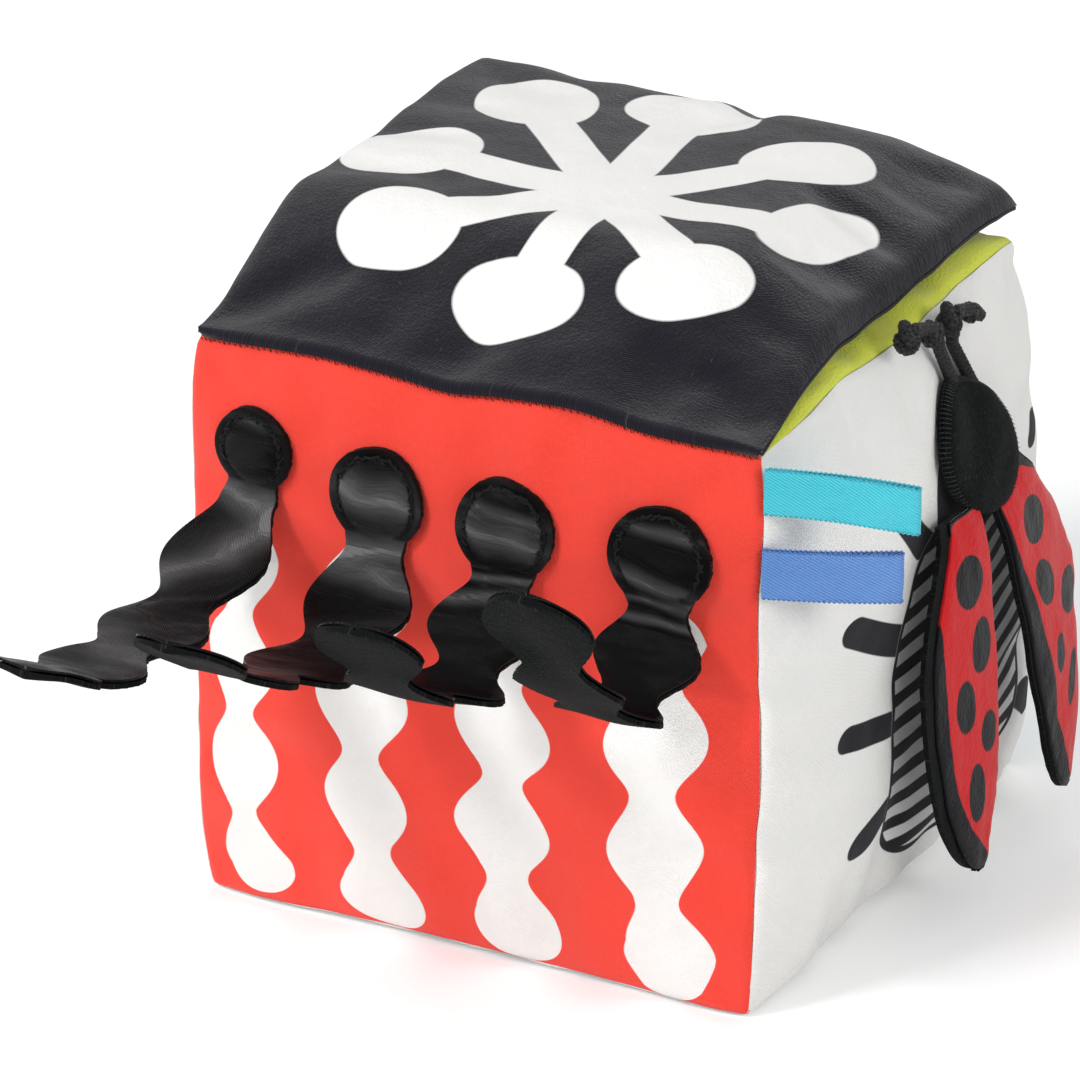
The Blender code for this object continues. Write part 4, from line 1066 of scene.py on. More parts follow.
for body_name, (deep, bright, reach, aside, wide, height, bow) in RIBBONS.items():
    ribbon = Cloth(f"{body_name}_satin", 0.42, specular=0.45, sheen=0.05)
    slant = ((ribbon.along * 0.55 + ribbon.across) * (2.0 * math.pi / 0.00078)).wave()
    ribbon.nap(slant * 0.7 + ribbon.grain(0.0012, detail=3.0) + ribbon.grain(0.009) * 2.0, 0.00012)
    ribbon.coat(deep, (slant * 0.25 + 0.30, bright),
                (ribbon.grain(0.006, stretch=(0.3, 1.0, 1.0)) * 0.30, bright))
    seam = cover_place("front_panel", HALF[0], height - HALF[2], 0.0)
    start = np.array([seam[0] - 0.0002, seam[1], height])
    length = math.hypot(reach, aside)
    along = np.array([reach / length, aside / length, 0.0])
    sideways = np.array([-along[1], along[0], 0.0])
    straight = length - RIBBON_TURN - RIBBON_CLOTH
    line = []
    for side in (-1.0, 1.0):
        for k in range(RIBBON_ROWS):
            s = k / (RIBBON_ROWS - 1) if side < 0.0 else 1.0 - k / (RIBBON_ROWS - 1)
            gap = RIBBON_GAP / 2 + (RIBBON_TURN - RIBBON_GAP / 2) * float(ease(s))
            line.append(start + along * (straight * s) + sideways * (bow * math.sin(math.pi * s) + side * gap))
        for k in range(1, 12) if side < 0.0 else ():
            angle = -math.pi / 2 + math.pi * k / 12
            line.append(start + along * (straight + RIBBON_TURN * math.cos(angle))
                        + sideways * (RIBBON_TURN * math.sin(angle)))
    line = np.array(line)
    run = np.gradient(line, axis=0)
    run /= np.linalg.norm(run, axis=1)[:, None]
    normal = np.stack([run[:, 1], -run[:, 0], np.zeros(len(run))], -1)
    travelled = np.concatenate([[0.0], np.cumsum(np.linalg.norm(np.diff(line, axis=0), axis=1))])
    wide *= RIBBON_WEAVE_SHARE
    edges = np.linspace(-wide / 2, wide / 2, RIBBON_COLUMNS)
    upward = np.array([0, 0, 1.0]) * edges[None, :, None]
    laid_s, laid_w = np.meshgrid(travelled, edges, indexing="ij")
    wave = normal[:, None, :] * (0.00025 * wander(90, 0.012, laid_s, laid_w))[..., None]
    top = line[:, None, :] + normal[:, None, :] * RIBBON_CLOTH / 2 + upward + wave
    bottom = line[:, None, :] - normal[:, None, :] * RIBBON_CLOTH / 2 + upward + wave
    spots, faces = two_layers(top, bottom)
    laid = np.stack([laid_s, laid_w, np.zeros_like(laid_s)], -1)
    tag = make_up(f"{body_name}_tag", spots, faces, ribbon, np.concatenate([laid, laid]))
    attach(tag, body_name)
    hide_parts(body_name)

    loops = []
    for edge in (-1.0, 1.0):
        for place_along in np.arange(0.0006, travelled[-1] - 0.0006, LOOP_PITCH):
            path = []
            for s in np.linspace(0.0, 1.0, 7):
                here = place_along + (s - 0.5) * LOOP_PITCH * 0.95
                middle = np.array([np.interp(here, travelled, line[:, axis]) for axis in range(3)])
                middle[2] += edge * (wide / 2 - 0.0001 + 0.00045 * math.sin(math.pi * s))
                path.append(middle)
            loops.append(path)
    spots, faces, laid = thread_tubes(loops, 0.00024, sides=5)
    picots = make_up(f"{body_name}_edge_loops", spots, faces, ribbon, laid)
    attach(picots, body_name)


# The ladybird's head: two ovals of thick black felt sewn edge to edge round a little wadding, with
# whip stitches over the edge, tacked to the right panel.
LADYBIRD_Y = 0.0200
FACE_HEIGHT = 0.1145
FACE_HALF_WIDTH = 0.0175
FACE_HALF_HEIGHT = 0.0168
FACE_LIFT = 0.0024
FACE_SIDE_LIFT = 0.0010
FACE_LOWER_LIFT = 0.0015
FACE_FELT = 0.0011
FACE_FILL = 0.0016
FACE_LEAN = 0.42
FACE_CHIN = 1.13
FACE_BROW = 1.09
FACE_RINGS = 16
FACE_SEGMENTS = 64


def right_x(y, z):
    return cover_place("right_panel", y, z - HALF[2], 0.0)[..., 0]


def on_face(a, b, out):
    """A place on the face: it leans forward at the top and is longer at the chin."""
    y = LADYBIRD_Y + a * (0.94 - 0.08 * b / FACE_HALF_HEIGHT) - FACE_LEAN * b + 0.0006
    z = FACE_HEIGHT - 0.0010 + b * np.where(b < 0.0, FACE_CHIN, FACE_BROW)
    lift = FACE_LIFT + FACE_SIDE_LIFT * a / FACE_HALF_WIDTH - FACE_LOWER_LIFT * b / FACE_HALF_HEIGHT
    return np.stack([right_x(y, z) + lift + out, y, z], -1)


def oval(low, high, inset=0.0, wavy=0.0):
    """An oval sheet on the face, between two heights that depend on the share of the way out."""
    shares = np.linspace(0.0, 1.0, FACE_RINGS) ** 0.8
    angles = np.arange(FACE_SEGMENTS) * 2.0 * math.pi / FACE_SEGMENTS
    edge = 1.0 + wavy * np.sin(angles * 9.0 + 0.6) * np.sin(angles * 4.0)
    spots, laid = [], []
    for height in (high, low):
        for share in shares[1:]:
            a = share * (FACE_HALF_WIDTH - inset) * np.cos(angles) * edge
            b = share * (FACE_HALF_HEIGHT - inset) * np.sin(angles) * edge
            rough = 0.00012 * wander(33, 0.003, a, b)
            spots.append(on_face(a, b, height(share) + rough))
            laid.append(np.stack([a, b, np.zeros_like(a)], -1))
        spots.append(on_face(np.array([0.0]), np.array([0.0]), height(0.0)))
        laid.append(np.zeros((1, 3)))
    layer = (FACE_RINGS - 1) * FACE_SEGMENTS + 1
    faces = []
    for base in (0, layer):
        for k in range(FACE_SEGMENTS):
            n = (k + 1) % FACE_SEGMENTS
            faces.append((base + layer - 1, base + k, base + n))
            for ring in range(FACE_RINGS - 2):
                near = base + ring * FACE_SEGMENTS
                far = near + FACE_SEGMENTS
                faces.append((near + k, far + k, far + n, near + n))
    rim = (FACE_RINGS - 2) * FACE_SEGMENTS
    for k in range(FACE_SEGMENTS):
        n = (k + 1) % FACE_SEGMENTS
        faces.append((rim + k, rim + n, layer + rim + n, layer + rim + k))
    return np.concatenate(spots), faces, np.concatenate(laid)


def face_fill(share):
    return 0.0001 + FACE_FILL * math.sqrt(1.0 - min(1.0, share * share) ** 2)


wadding = Cloth("white_wadding", 0.95, specular=0.05)
fluff = wadding.grain(0.0012, detail=4.0)
wadding.nap(fluff, 0.0009)
wadding.coat((0.80, 0.80, 0.78), (fluff * 0.3, (0.68, 0.68, 0.66)))

spots, faces, laid = oval(lambda s: 0.0002, lambda s: 0.0002 + FACE_FELT, wavy=0.004)
face_back = make_up("ladybird_back_oval", spots, faces, felt, laid)
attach(face_back, "block")
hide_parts("ladybird_head_back")

spots, faces, laid = oval(lambda s: 0.0002 + FACE_FELT + 0.0001, lambda s: 0.0004 + FACE_FELT + face_fill(s),
                          inset=0.0014)
face_filling = make_up("ladybird_head_filling", spots, faces, wadding, laid)
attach(face_filling, "block")
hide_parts("ladybird_head_wadding")

spots, faces, laid = oval(lambda s: 0.0005 + FACE_FELT + face_fill(s),
                          lambda s: 0.0005 + 2 * FACE_FELT + face_fill(s) - 0.0006 * s ** 10, wavy=0.004)
face_front = make_up("ladybird_face_oval", spots, faces, felt, laid)
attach(face_front, "block")
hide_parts("ladybird_head_front")

grey_thread = Cloth("grey_flecked_thread", 0.65, specular=0.3)
fleck = ((grey_thread.along + grey_thread.across * 2.0) * (2.0 * math.pi / 0.0008)).wave()
grey_thread.coat((0.012, 0.013, 0.014), ((fleck - 0.35).most(0.0) * 1.2, (0.13, 0.135, 0.14)))

WHIP_COUNT = 84
whips = []
for k in range(WHIP_COUNT):
    turn = 2.0 * math.pi * k / WHIP_COUNT
    path = []
    for s in np.linspace(0.0, 1.0, 7):
        out = 1.0 + 0.012 * math.sin(math.pi * s)
        inward = 0.95 + 0.05 * math.sin(math.pi * s)
        here = turn + 0.050 * (s - 0.5)
        a = FACE_HALF_WIDTH * math.cos(here) * inward * out
        b = np.array(FACE_HALF_HEIGHT * math.sin(here) * inward * out)
        top = 0.0006 + 2 * FACE_FELT + face_fill(min(1.0, inward))
        path.append(on_face(np.array(a), b, top * (1.0 - s) + 0.0001 * s - 0.0001))
    whips.append(path)
spots, faces, laid = thread_tubes(whips, 0.00011, sides=5)
whip_stitches = make_up("ladybird_whip_stitches", spots, faces, grey_thread, laid)
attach(whip_stitches, "block")


# Two feelers of round braided black cord, sewn in behind the head's top edge, each ending in a
# tight overhand knot with a short cut end.
FEELER_RADIUS = 0.0017
FEELER_CORD = 0.00056
# each feeler: its foot and bend, then the balls of its knot, as (y, z, off the panel, radius), and its end
FEELERS = {
    "feeler_left": (((0.0175, 0.1275, 0.0022), (0.0120, 0.1355, 0.0024), (0.0058, 0.1430, 0.0026)),
                    ((0.0010, 0.1485, 0.0030, 0.0031), (-0.0108, 0.1518, 0.0030, 0.0039)), None),
    "feeler_right": (((0.0245, 0.1268, 0.0024), (0.0208, 0.1340, 0.0026), (0.0172, 0.1400, 0.0028)),
                     ((0.0128, 0.1478, 0.0034, 0.0040), (0.0245, 0.1452, 0.0032, 0.0025)),
                     (0.0325, 0.1412, 0.0028)),
}


def braid(path, radius, strands=4, pitch=0.0050):
    """Two sets of strands that wind round a path both ways, over and under each other."""
    path = np.asarray(path, float)
    steps = np.concatenate([[0.0], np.cumsum(np.linalg.norm(np.diff(path, axis=0), axis=1))])
    fine = np.linspace(0.0, steps[-1], max(12, int(steps[-1] / 0.00035)))
    line = np.stack([np.interp(fine, steps, path[:, axis]) for axis in range(3)], -1)
    for _ in range(6):
        line[1:-1] = (line[:-2] + 2.0 * line[1:-1] + line[2:]) / 4.0
    run = np.gradient(line, axis=0)
    run /= np.linalg.norm(run, axis=1)[:, None]
    side = np.cross(run[0], (0.9, 0.1, 0.2))
    sides_list = []
    for heading in run:
        side = side - heading * side.dot(heading)
        side = side / np.linalg.norm(side)
        sides_list.append(side)
    side = np.array(sides_list)
    other = np.cross(run, side)
    paths = []
    for hand in (-1.0, 1.0):
        for k in range(strands):
            angle = hand * 2.0 * math.pi * fine / pitch + 2.0 * math.pi * k / strands
            weave_in = 0.86 + 0.13 * hand * np.cos(angle * strands)
            paths.append(line + (side * np.cos(angle)[:, None] + other * np.sin(angle)[:, None])
                         * (radius * 0.70 * weave_in)[:, None])
    return paths


cord = Cloth("black_braided_cord", 0.40, specular=0.35, sheen=0.05)
strand_twist = ((cord.along + cord.across * 1.6) * (2.0 * math.pi / 0.0005)).wave()
cord.nap(strand_twist, 0.00010)
cord.coat((0.0055, 0.0055, 0.0062), (strand_twist * 0.35, (0.020, 0.020, 0.022)),
          ((cord.grain(0.0010, detail=4.0) - 0.62).most(0.0) * 4.0, (0.16, 0.16, 0.16)))


def off_panel(y, z, out):
    return np.array([float(right_x(min(y, HALF[1]), min(z, BLOCK_HEIGHT * 0.93))) + out, y, z])


for body_name, (rise, balls, end) in FEELERS.items():
    path = [off_panel(*spot) for spot in rise]
    for y, z, out, ball in balls:
        middle = off_panel(y, z, out)
        wide, deep = (ball - FEELER_RADIUS * 0.72) * 0.70, (ball - FEELER_RADIUS * 0.72) * 0.42
        for turn in np.linspace(0.4, 0.4 + 4.0 * math.pi, 46):
            ring = wide + deep * math.cos(1.5 * turn)
            path.append(middle + np.array([deep * math.sin(1.5 * turn) * 1.2,
                                           ring * math.cos(turn), ring * math.sin(turn)]))
    if end:
        path.append(off_panel(*end))
    spots, faces, laid = thread_tubes(braid(path, FEELER_RADIUS), FEELER_CORD, sides=6)
    feeler = make_up(f"{body_name}_braid", spots, faces, cord, laid)
    foot = path[0]
    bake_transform(feeler)
    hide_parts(body_name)


# Two wings that lift like pages: a black felt back, a thin layer of wadding and a red satin face
# with printed black spots and a black border, sewn together at the edge and to the block at the root.
WING_LENGTH = 0.0870
WING_WIDTH = 0.0355
WING_FELT = 0.0013
WING_SATIN = 0.0005
WING_FILL = 0.0014
WING_OFF_PANEL = 0.0055
WING_TIP = 0.26
WING_MEDIAL = 0.74
WING_BOW_POWER = 0.6
WING_BOW_START = 0.01
WING_ROWS = 74
WING_COLUMNS = 26
WING_RED = (0.55, 0.008, 0.012)
# where the left wing's red ends, and how wide the right wing's black is, in mm along and across
LEFT_RED_ALONG = (-2, 0, 5, 10, 15, 18, 25, 35, 45, 50, 57, 62, 68, 73, 77, 80, 83, 87)
LEFT_RED_ACROSS = (14.5, 16.0, 20.5, 24.0, 27.0, 28.0, 28.4, 28.6, 28.4, 27.8, 26.8, 25.3, 22.5, 19.8,
                   16.0, 13.0, 10.5, 8.0)
RIGHT_BLACK_ALONG = (3, 10, 15, 20, 25, 30, 35, 40, 45, 50, 55, 60, 64, 67, 70, 75, 82, 87)
RIGHT_BLACK_WIDE = (0.4, 0.8, 1.3, 2.4, 3.8, 4.8, 5.8, 6.5, 6.9, 7.2, 7.6, 7.2, 5.4, 6.2, 6.8, 7.4, 8.2, 10.0)
# how much narrower or wider than its pattern each wing was sewn, at the given mm along
LEFT_INNER_ALONG = (0, 50, 60, 70, 75, 80, 87)
LEFT_INNER_SHIFT = (0.6, 0.8, 2.0, 3.4, 5.4, 6.2, 4.0)
RIGHT_OUTER_ALONG = (0, 5, 10, 15, 20, 25, 30, 35, 40, 45, 50, 60, 70, 75, 80, 87)
RIGHT_OUTER_SHIFT = (-3.0, -3.0, -4.8, -4.4, -3.2, -2.4, -1.0, 0.8, 1.0, 0.0, -1.8, -2.0, -2.2, -3.6,
                     -5.0, -3.6)
WINGS = {
    "wing_left": (-1.0, 0.0180, 0.0972, (0.52, 0.42), 0.0106, 1.5, 2.2,
                  ((12.6, 13.4, 6.4, 6.8, 0.0), (29.3, 10.3, 6.7, 5.4, 0.1), (41.8, 20.0, 6.6, 4.8, 0.0),
                   (51.8, 8.9, 5.2, 4.2, 0.0), (65.1, 16.3, 7.3, 4.3, 0.05))),
    "wing_right": (1.0, 0.0262, 0.0965, (0.68, 0.28), 0.0126, 10.0, 8.0,
                   ((13.2, 13.8, 6.2, 6.8, 0.15), (30.0, 12.2, 6.8, 5.4, 0.25), (41.5, 27.0, 5.8, 6.4, 0.0),
                    (51.5, 13.8, 4.9, 3.3, -0.2), (62.0, 19.4, 5.3, 3.7, -0.85))),
}


def in_mm(s, alongs, values):
    """A value from a table in mm, at the share s of the wing's length."""
    return float(np.interp(s * WING_LENGTH * 1000.0, alongs, values)) * 0.001


def wing_edges(s, outline):
    root_share, widest = outline
    tip = WING_WIDTH * WING_TIP
    s = min(max(s, 0.0), 1.0)
    if s < widest:
        outer = WING_WIDTH * (root_share + (1.0 - root_share) * math.sin(math.pi / 2 * s / widest))
    else:
        q = (s - widest) / (1.0 - widest)
        outer = tip + (WING_WIDTH - tip) * math.sqrt(max(0.0, 1.0 - q * q))
    q = max(0.0, (s - WING_MEDIAL) / (1.0 - WING_MEDIAL))
    return tip - tip * math.sqrt(max(0.0, 1.0 - q * q)), outer


def wing_profile(s, bow):
    start = WING_BOW_START
    rise = max(0.0, s + start) ** WING_BOW_POWER - start ** WING_BOW_POWER
    return bow * rise, s * WING_LENGTH


for body_name, (sign, root_y, root_z, outline, bow, lean, turn, spots_mm) in WINGS.items():
    lean, turn = math.radians(lean), math.radians(turn)
    down = Vector((0.0, sign * math.sin(lean), -math.cos(lean)))
    across = Vector((-math.sin(turn), sign * math.cos(lean) * math.cos(turn), math.sin(lean))).normalized()
    out = (down.cross(across) if sign > 0 else across.cross(down)).normalized()
    if out.x < 0.0:
        out.negate()
    root = Vector((float(right_x(root_y, root_z)) + WING_OFF_PANEL, root_y, root_z))

    def wing_place(s, w, height):
        reach, hang = wing_profile(s, bow)
        ahead, lower = wing_profile(s + 0.01, bow)
        behind, upper = wing_profile(s - 0.01, bow)
        tangent = (out * (ahead - behind) + down * (lower - upper)).normalized()
        normal = across.cross(tangent)
        if normal.x < 0.0:
            normal.negate()
        return root + down * hang + out * reach + across * w + normal * height

    def wing_fill(s, share):
        lens = math.sqrt(max(0.0, 1.0 - (2.0 * share - 1.0) ** 2))
        ends = math.sqrt(max(0.0, 1.0 - min(1.0, abs(2.0 * s / 0.985 - 1.0)) ** 6))
        return 0.0001 + WING_FILL * lens * ends

    def red_gap(s, w):
        """How far outside the red print a place is."""
        shifted = wing_edges(s + 0.005 / WING_LENGTH, outline)
        if sign < 0:
            border = in_mm(s, LEFT_RED_ALONG, LEFT_RED_ACROSS)
            return max(w - border, shifted[0] + 0.0002 - w, -0.0019 - s * WING_LENGTH)
        grow = in_mm(s, RIGHT_BLACK_ALONG, RIGHT_BLACK_WIDE)
        return max(grow - w, 0.0002 - s * WING_LENGTH, w - 0.0168 - 1.35 * s * WING_LENGTH)

    def wing_layer(low, high, grow_outer, grow_inner):
        top, bottom, laid = [], [], []
        for k in range(WING_ROWS + 1):
            s = -0.03 + 1.025 * math.sin(math.pi / 2 * k / WING_ROWS)
            inner, outer = wing_edges(s, outline)
            if sign < 0:
                inner += in_mm(s, LEFT_INNER_ALONG, LEFT_INNER_SHIFT)
            else:
                outer += in_mm(s, RIGHT_OUTER_ALONG, RIGHT_OUTER_SHIFT)
            outer = max(outer, inner + 0.0030)
            fade = 1.0 - max(0.0, s) ** 8
            inner -= grow_inner * fade
            outer += grow_outer * fade
            row_top, row_bottom, row_laid = [], [], []
            for j in range(WING_COLUMNS + 1):
                share = 0.5 - 0.5 * math.cos(math.pi * j / WING_COLUMNS)
                w = inner + (outer - inner) * share
                crumple = 0.00016 * float(wander(71, 0.006, s * WING_LENGTH, w))
                crumple += 0.00025 * float(wander(72, 0.017, s * WING_LENGTH, w))
                row_top.append(tuple(wing_place(s, w, high(s, share) + crumple)))
                row_bottom.append(tuple(wing_place(s, w, low(s, share) + crumple)))
                row_laid.append((s * WING_LENGTH, w, red_gap(s, w)))
            top.append(row_top)
            bottom.append(row_bottom)
            laid.append(row_laid)
        spots, faces = two_layers(np.array(top), np.array(bottom))
        laid = np.array(laid).reshape(-1, 3)
        return spots, faces, np.concatenate([laid, laid])

    wing_satin = Cloth(f"{body_name}_printed_satin", 0.34, specular=0.13)
    red_here = wing_satin.third.inked(0.0004)
    for place_s, place_w, half_s, half_w, tilt in spots_mm:
        off_s = wing_satin.along - place_s * 0.001
        off_w = (wing_satin.across - place_w * 0.001 - off_s * tilt) / (half_w * 0.001)
        off_s = off_s / (half_s * 0.001)
        spot = ((off_s * off_s + off_w * off_w).root() - 1.0) * (half_w * 0.001)
        red_here = red_here * (1.0 - spot.inked(0.0004))
    shine = wing_satin.grain(0.0011, detail=4.0)
    wing_satin.nap(shine * 1.2 + wing_satin.grain(0.005, detail=3.0) * 2.0, 0.00022)
    wing_satin.coat((0.0052, 0.0052, 0.0070), (red_here, WING_RED),
                    (red_here * wing_satin.grain(0.0030, detail=3.0) * 0.25, (0.68, 0.030, 0.028)))

    spots, faces, laid = wing_layer(lambda s, w: -WING_FELT, lambda s, w: 0.0, 0.0016, 0.0010)
    wing_back = make_up(f"{body_name}_back", spots, faces, felt, laid)
    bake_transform(wing_back)
    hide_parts(f"{body_name}_felt")
    spots, faces, laid = wing_layer(lambda s, w: 0.0001, wing_fill, -0.0036 if sign < 0 else -0.0012, -0.0012)
    wing_filling = make_up(f"{body_name}_filling", spots, faces, wadding, laid)
    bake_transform(wing_filling)
    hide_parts(f"{body_name}_wadding")
    spots, faces, laid = wing_layer(lambda s, w: 0.0001 + wing_fill(s, w),
                                    lambda s, w: 0.0002 + wing_fill(s, w) + WING_SATIN,
                                    -0.0024 if sign < 0 else 0.0, 0.0)
    wing_face = make_up(f"{body_name}_face", spots, faces, wing_satin, laid)
    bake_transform(wing_face)
    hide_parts(f"{body_name}_satin")
    widths = [wing_edges(s, outline)[1] - wing_edges(s, outline)[0] for s in np.linspace(0, 1, 200)]
    wing_area = sum(widths) / len(widths) * WING_LENGTH


# The flap: a black plush cover with a printed star, a layer of wadding and a plain lining, sewn
# together round the edge and sewn to the block along the top front seam. The rest is free.
FLAP_HALF = 0.0750
FLAP_FRONT = -0.0745
FLAP_BACK = 0.0755
FLAP_PUFF = 0.0170
FLAP_RIGHT_PUFF = 0.0075
FLAP_COVER = 0.0010
FLAP_LINING = 0.0008
FLAP_CELLS = 90
FLAP_INK = (0.0072, 0.0065, 0.0112)
FLAP_FALL = 0.78
FLAP_BACK_LOSS = 0.04
FLAP_ROLL = 0.86
CUSHION_CAP = 0.0009
SEAM_LIP_ROWS = 4
PAD_INSET = 0.0040
PAD_FRONT = 0.0140
PAD_LOSS = 0.0019
STAR_MIDDLE = (0.0030, -0.0107)
STAR_SPOKE = 0.0062
# each round end: its middle, its long and short half sizes, its turn, and where its arm points
STAR_ENDS = ((0.0003, -0.0515, 0.0162, 0.0111, 0.0, 0.0003, -0.0515),
             (0.0375, -0.0390, 0.0160, 0.0108, 27.0, 0.0375, -0.0390),
             (0.0515, 0.0025, 0.0196, 0.0090, 74.0, 0.0470, -0.0078),
             (0.0340, 0.0335, 0.0170, 0.0132, 48.0, 0.0340, 0.0335),
             (-0.0050, 0.0505, 0.0173, 0.0137, 0.0, -0.0056, 0.0500),
             (-0.0425, 0.0400, 0.0205, 0.0150, 129.0, -0.0425, 0.0375),
             (-0.0545, -0.0020, 0.0175, 0.0166, 0.0, -0.0545, -0.0038),
             (-0.0377, -0.0390, 0.0152, 0.0134, 0.0, -0.0377, -0.0390))


def crease_below(x, y):
    """How high the lime panel's creases stand under the flap."""
    if "top_panel" not in CREASED:
        return np.zeros_like(x + y)
    u, v = np.clip(x / HALF[0], -1.0, 1.0), np.clip(y / HALF[1], -1.0, 1.0)
    return from_grid(CREASED["top_panel"], (u + 1.0) / 2.0, (v + 1.0) / 2.0)[..., 2]


def flap_floor(x, y):
    s = np.minimum(1.0, np.abs(x) / FLAP_HALF)
    t = (y - FLAP_FRONT) / (FLAP_BACK - FLAP_FRONT)
    rise = ease(t / 0.36)
    free = np.maximum(s ** 6 * rise, ease((t - 0.8) / 0.2))
    u = np.clip(x / HALF[0], -1.0, 1.0)
    v = np.clip(y / HALF[1], -1.0, 1.0)
    crowned_top = cover_place("top_panel", u * HALF[0], v * HALF[1], 0.0)[..., 2]
    right = np.where(x > 0.0, 0.0015 * rise, 0.0)
    return crowned_top + 0.00045 + (0.0030 - 0.75 * crease_below(x, y)) * free + right * s ** 4


def flap_top(a, b, loss):
    s = 2.0 * a - 1.0
    full = ease((0.35 - a) / 0.35) * ease((b - 0.45) / 0.45)
    side = 0.90 + 0.045 * full
    over = np.maximum(0.0, (np.abs(s) - side) / (1.0 - side))
    roll = np.maximum(0.0, 1.0 - over ** 2.2) ** 0.45
    right = ease((a - FLAP_FALL) / (1.0 - FLAP_FALL))
    start = FLAP_ROLL + 0.08 * right + 0.075 * full
    back = np.maximum(0.0, (b - start) / (1.0 - start))
    roll = roll * np.maximum(0.0, 1.0 - back ** 2.2) ** 0.45
    rise = ease(b / 0.33)
    thick = FLAP_PUFF * (1.0 - FLAP_BACK_LOSS * ease((b - 0.38) / 0.62)) + 0.0016 * full
    puff = thick + (FLAP_RIGHT_PUFF - thick) * right
    puff = puff * (1.0 - 0.08 * (1.0 - crowned(s)))
    return np.maximum(0.0, puff - loss) * roll * rise


def flap_place(a, b, inset, front, height):
    drawn_in = 0.0045 * np.sin(math.pi / 2 * np.minimum(1.0, 2.0 * b))
    right_edge = FLAP_HALF - drawn_in - inset
    left_edge = -FLAP_HALF + 0.0027 * (1.0 - ease(b / 0.35)) + inset
    x = left_edge + a * (right_edge - left_edge)
    y = FLAP_FRONT + front + b * (FLAP_BACK - FLAP_FRONT - inset - front)
    calm = crease_below(x, y) * ease(height / 0.010) * 0.9
    return np.stack([x, y, flap_floor(x, y) + height - calm], -1)


flap_shares = 0.5 - 0.5 * np.cos(np.linspace(0.0, 1.0, FLAP_CELLS + 1) * math.pi)
flap_shares = 0.35 * flap_shares + 0.65 * np.linspace(0.0, 1.0, FLAP_CELLS + 1)
flap_a, flap_b = np.meshgrid(flap_shares, flap_shares)
seam_height = FLAP_LINING + 0.0003
BILLOW = []


def billow(a, b):
    """The uneven filling, and the puckers along the sewn edge."""
    if BILLOW:
        return from_grid(BILLOW[0], a, b)
    gap = np.minimum(np.minimum(a, 1.0 - a), np.minimum(1.0 - b, b)) * 0.15
    run = np.where(np.minimum(a, 1 - a) < np.minimum(1 - b, b), b, a) * 0.15
    rise = 0.0007 * np.exp(-gap / 0.014) * ease(gap / 0.002) * wander(41, 0.017, run, gap * 0.3)
    rise = rise + 0.0009 * wander(42, 0.050, a * 0.15, b * 0.15) * ease(gap / 0.02)
    return np.stack([np.zeros_like(rise), np.zeros_like(rise), rise], -1)


shares = np.linspace(0.0, 1.0, BAG_CELLS + 1)
bag_a, bag_b = np.meshgrid(shares, shares)
cushion_top = flap_place(bag_a, bag_b, 0.0, 0.0, seam_height + flap_top(bag_a, bag_b, 0.0))
bag_spots, bag_faces = two_layers(cushion_top, flap_place(bag_a, bag_b, 0.0, 0.0, 0.0))
gap = np.minimum(np.minimum(bag_a, 1.0 - bag_a), 1.0 - bag_b) * 0.15
uneven = wander(12, 0.040, bag_a * 0.15, bag_b * 0.15)
taut = np.clip(1.0 - gap / 0.006, 0.0, 1.0) + ease((gap - 0.016 - 0.006 * uneven) / 0.030)
taut = np.clip(np.concatenate([taut.reshape(-1), np.ones(taut.size)]), 0.0, 1.0)
hold = np.where(bag_b < 0.03, 1.0, np.where(gap < 1e-6, 0.72, 0.38))
hold = np.concatenate([hold.reshape(-1), np.full(hold.size, 0.80)])
moved = blown(bag_spots, bag_faces, hold, taut, 0.026, 3.0, 45.0, CUSHION_CAP)
BILLOW.append(moved[:bag_a.size].reshape(bag_a.shape + (3,)))

plush = Cloth("black_printed_plush", 0.92, specular=0.08, sheen=0.26)
star_x = plush.along - STAR_MIDDLE[0]
star_y = plush.across - STAR_MIDDLE[1]
star = None
for end_x, end_y, half_long, half_short, turn, aim_x, aim_y in STAR_ENDS:
    run_x, run_y = aim_x - STAR_MIDDLE[0], aim_y - STAR_MIDDLE[1]
    out_to = math.hypot(run_x, run_y)
    run_x, run_y = run_x / out_to, run_y / out_to
    arm_along = star_x * run_x + star_y * run_y
    arm_aside = abs(star_x * run_y - star_y * run_x)
    lean_x, lean_y = math.cos(math.radians(turn)), math.sin(math.radians(turn))
    off_x, off_y = plush.along - end_x, plush.across - end_y
    off_long = (off_x * lean_x + off_y * lean_y) / half_long
    off_short = (off_y * lean_x - off_x * lean_y) / half_short
    end = ((off_long * off_long + off_short * off_short).root() - 1.0) * half_short
    spoke = (arm_aside - STAR_SPOKE).most(arm_along - out_to).most(arm_along * -1.0)
    arm = end.least(spoke)
    star = arm if star is None else star.least(arm)
star_ink = star.inked(0.0005)
plush_twill = plush.twill(0.00062, lean=-1.0)
plush_nap = plush.grain(0.0008, detail=3.0)
plush.nap(plush_nap * 1.0 + plush_twill * 0.12 + plush.grain(0.006, detail=2.0) * 1.6, 0.00030)
lint = (plush.grain(0.0016, detail=4.0) - 0.66).most(0.0) * 5.0
plush.coat(FLAP_INK, (plush_nap * 0.30, (0.016, 0.0148, 0.022)), (plush_twill * 0.06, (0.025, 0.023, 0.034)),
           (lint * 0.5, (0.16, 0.15, 0.17)), (star_ink, PRINT_WHITE),
           (star_ink * plush.grain(0.0010, detail=3.0) * 0.20, (0.74, 0.73, 0.72)))

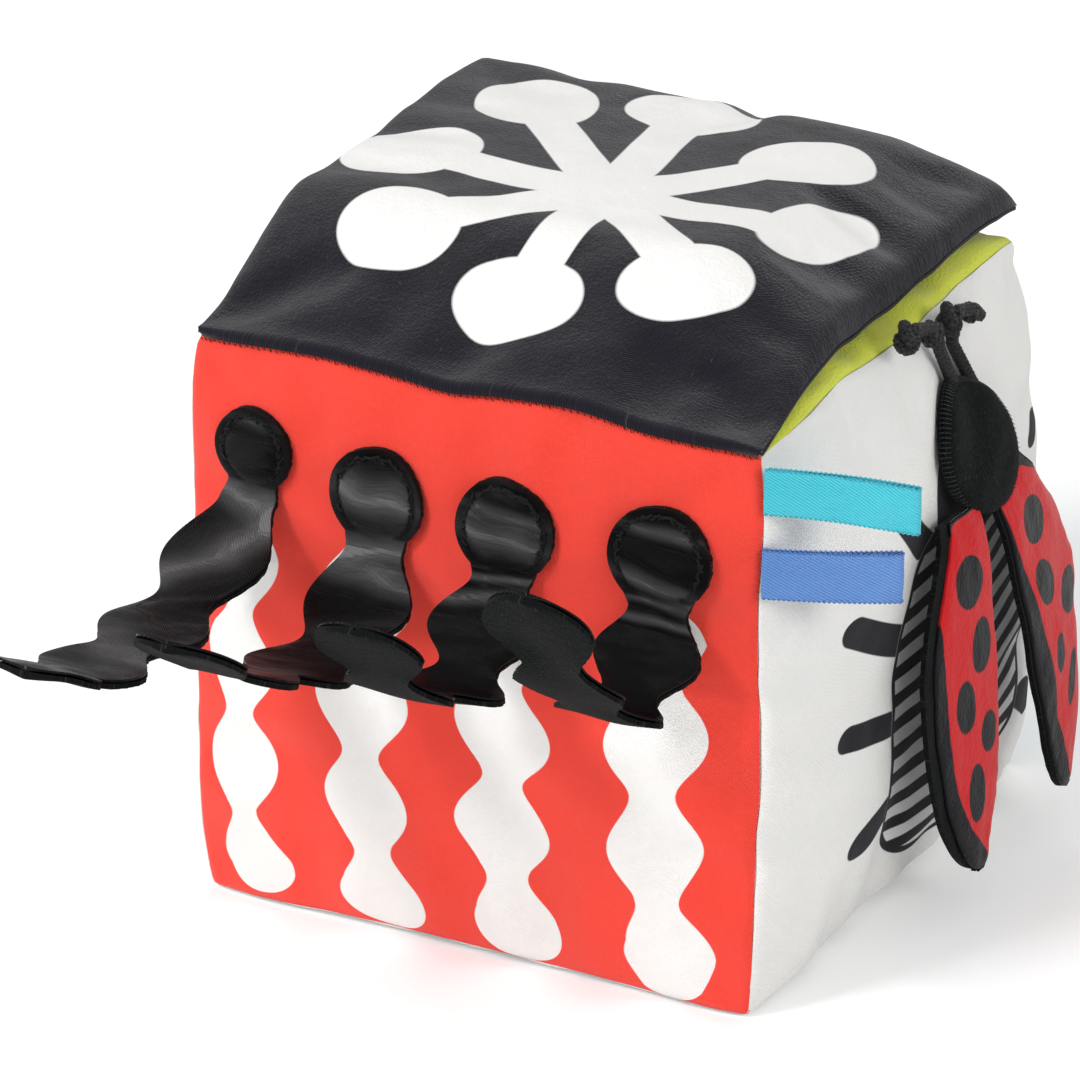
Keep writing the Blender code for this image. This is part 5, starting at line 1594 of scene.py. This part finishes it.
cover_top = flap_place(flap_a, flap_b, 0.0, 0.0, seam_height + 0.0004 + flap_top(flap_a, flap_b, 0.0))
cover_top = cover_top + billow(flap_a, flap_b)
cover_under = flap_place(flap_a, flap_b, FLAP_COVER, FLAP_COVER,
                         seam_height + flap_top(flap_a, flap_b, FLAP_COVER))
cover_under = cover_under + billow(flap_a, flap_b) * 0.9
lip_top, lip_under = [], []
seam_x = np.clip(cover_top[0, :, 0], -HALF[0], HALF[0])
for row in range(SEAM_LIP_ROWS):
    share = row / SEAM_LIP_ROWS
    seam = cover_place("front_panel", seam_x, HALF[2] - 0.0006, 0.0)
    bulge = np.array([0.0, -0.0007, 0.0004]) * math.sin(math.pi * share)
    over_seam = np.array([0.0, -0.0007, 0.0]) * (1.0 - share)
    under_lip = np.array([0.0, 0.0006, -0.0002]) * (1.0 - share) - np.array([0.0, 0.0, 0.0006]) * share
    lip_top.append(seam * (1.0 - share) + cover_top[0] * share + bulge + over_seam)
    lip_under.append(lip_top[-1] + under_lip)
laid_x = np.concatenate([np.repeat(cover_top[:1, :, 0], SEAM_LIP_ROWS, 0), cover_top[..., 0]])
laid_y = np.concatenate([np.repeat(cover_top[:1, :, 1], SEAM_LIP_ROWS, 0), cover_top[..., 1]])
cover_laid = np.stack([laid_x, laid_y, np.zeros_like(laid_x)], -1)
spots, faces = two_layers(np.concatenate([np.array(lip_top), cover_top]),
                          np.concatenate([np.array(lip_under), cover_under]))
flap_cover = make_up("flap_plush_cover", spots, faces, plush, np.concatenate([cover_laid, cover_laid]))
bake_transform(flap_cover)
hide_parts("flap_cover")
laid = np.stack([cover_top[..., 0], cover_top[..., 1], np.zeros_like(flap_a)], -1)

lining = Cloth("black_lining", 0.85, specular=0.15, sheen=0.08)
weave(lining, COTTON_PITCH, 0.00014)
lining.coat((0.020, 0.018, 0.026), (lining.grain(0.001, detail=3.0) * 0.4, (0.034, 0.031, 0.043)))
lining_top = flap_place(flap_a, flap_b, 0.0, 0.0, FLAP_LINING)
lining_low = flap_place(flap_a, flap_b, 0.0, 0.0, 0.0)
spots, faces = two_layers(lining_top, lining_low)
flap_lining = make_up("flap_under_lining", spots, faces, lining, np.concatenate([laid, laid]))
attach(flap_lining, "flap")
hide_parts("flap_lining")

pad_height = seam_height + 0.0002 + flap_top(flap_a, flap_b, FLAP_COVER + PAD_LOSS)
pad_top = flap_place(flap_a, flap_b, PAD_INSET, PAD_FRONT, pad_height)
pad_low = flap_place(flap_a, flap_b, PAD_INSET, PAD_FRONT, seam_height + 0.0001)
spots, faces = two_layers(pad_top, pad_low)
flap_pad = make_up("flap_filling", spots, faces, wadding, np.concatenate([laid, laid]))
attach(flap_pad, "flap")
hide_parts("flap_wadding")

# The stitches that hold the flap along the front seam: short black threads, of which only the ends
# show below the plush as fine teeth.
seam_stitches = []
for number, x in enumerate(np.arange(-0.0735, 0.0745, 0.0017)):
    top = cover_place("front_panel", x, HALF[2] - 0.0006, 0.0006)
    low = cover_place("front_panel", x + 0.0003, HALF[2] - 0.0014 - 0.0002 * (number % 3), 0.0001)
    seam_stitches.append([top, (top + low) / 2 + np.array([0.0, -0.0002, 0.0]), low])
spots, faces, laid = thread_tubes(seam_stitches, 0.00016, sides=5)
front_stitches = make_up("flap_seam_stitches", spots, faces, black_thread, laid)
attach(front_stitches, "block")
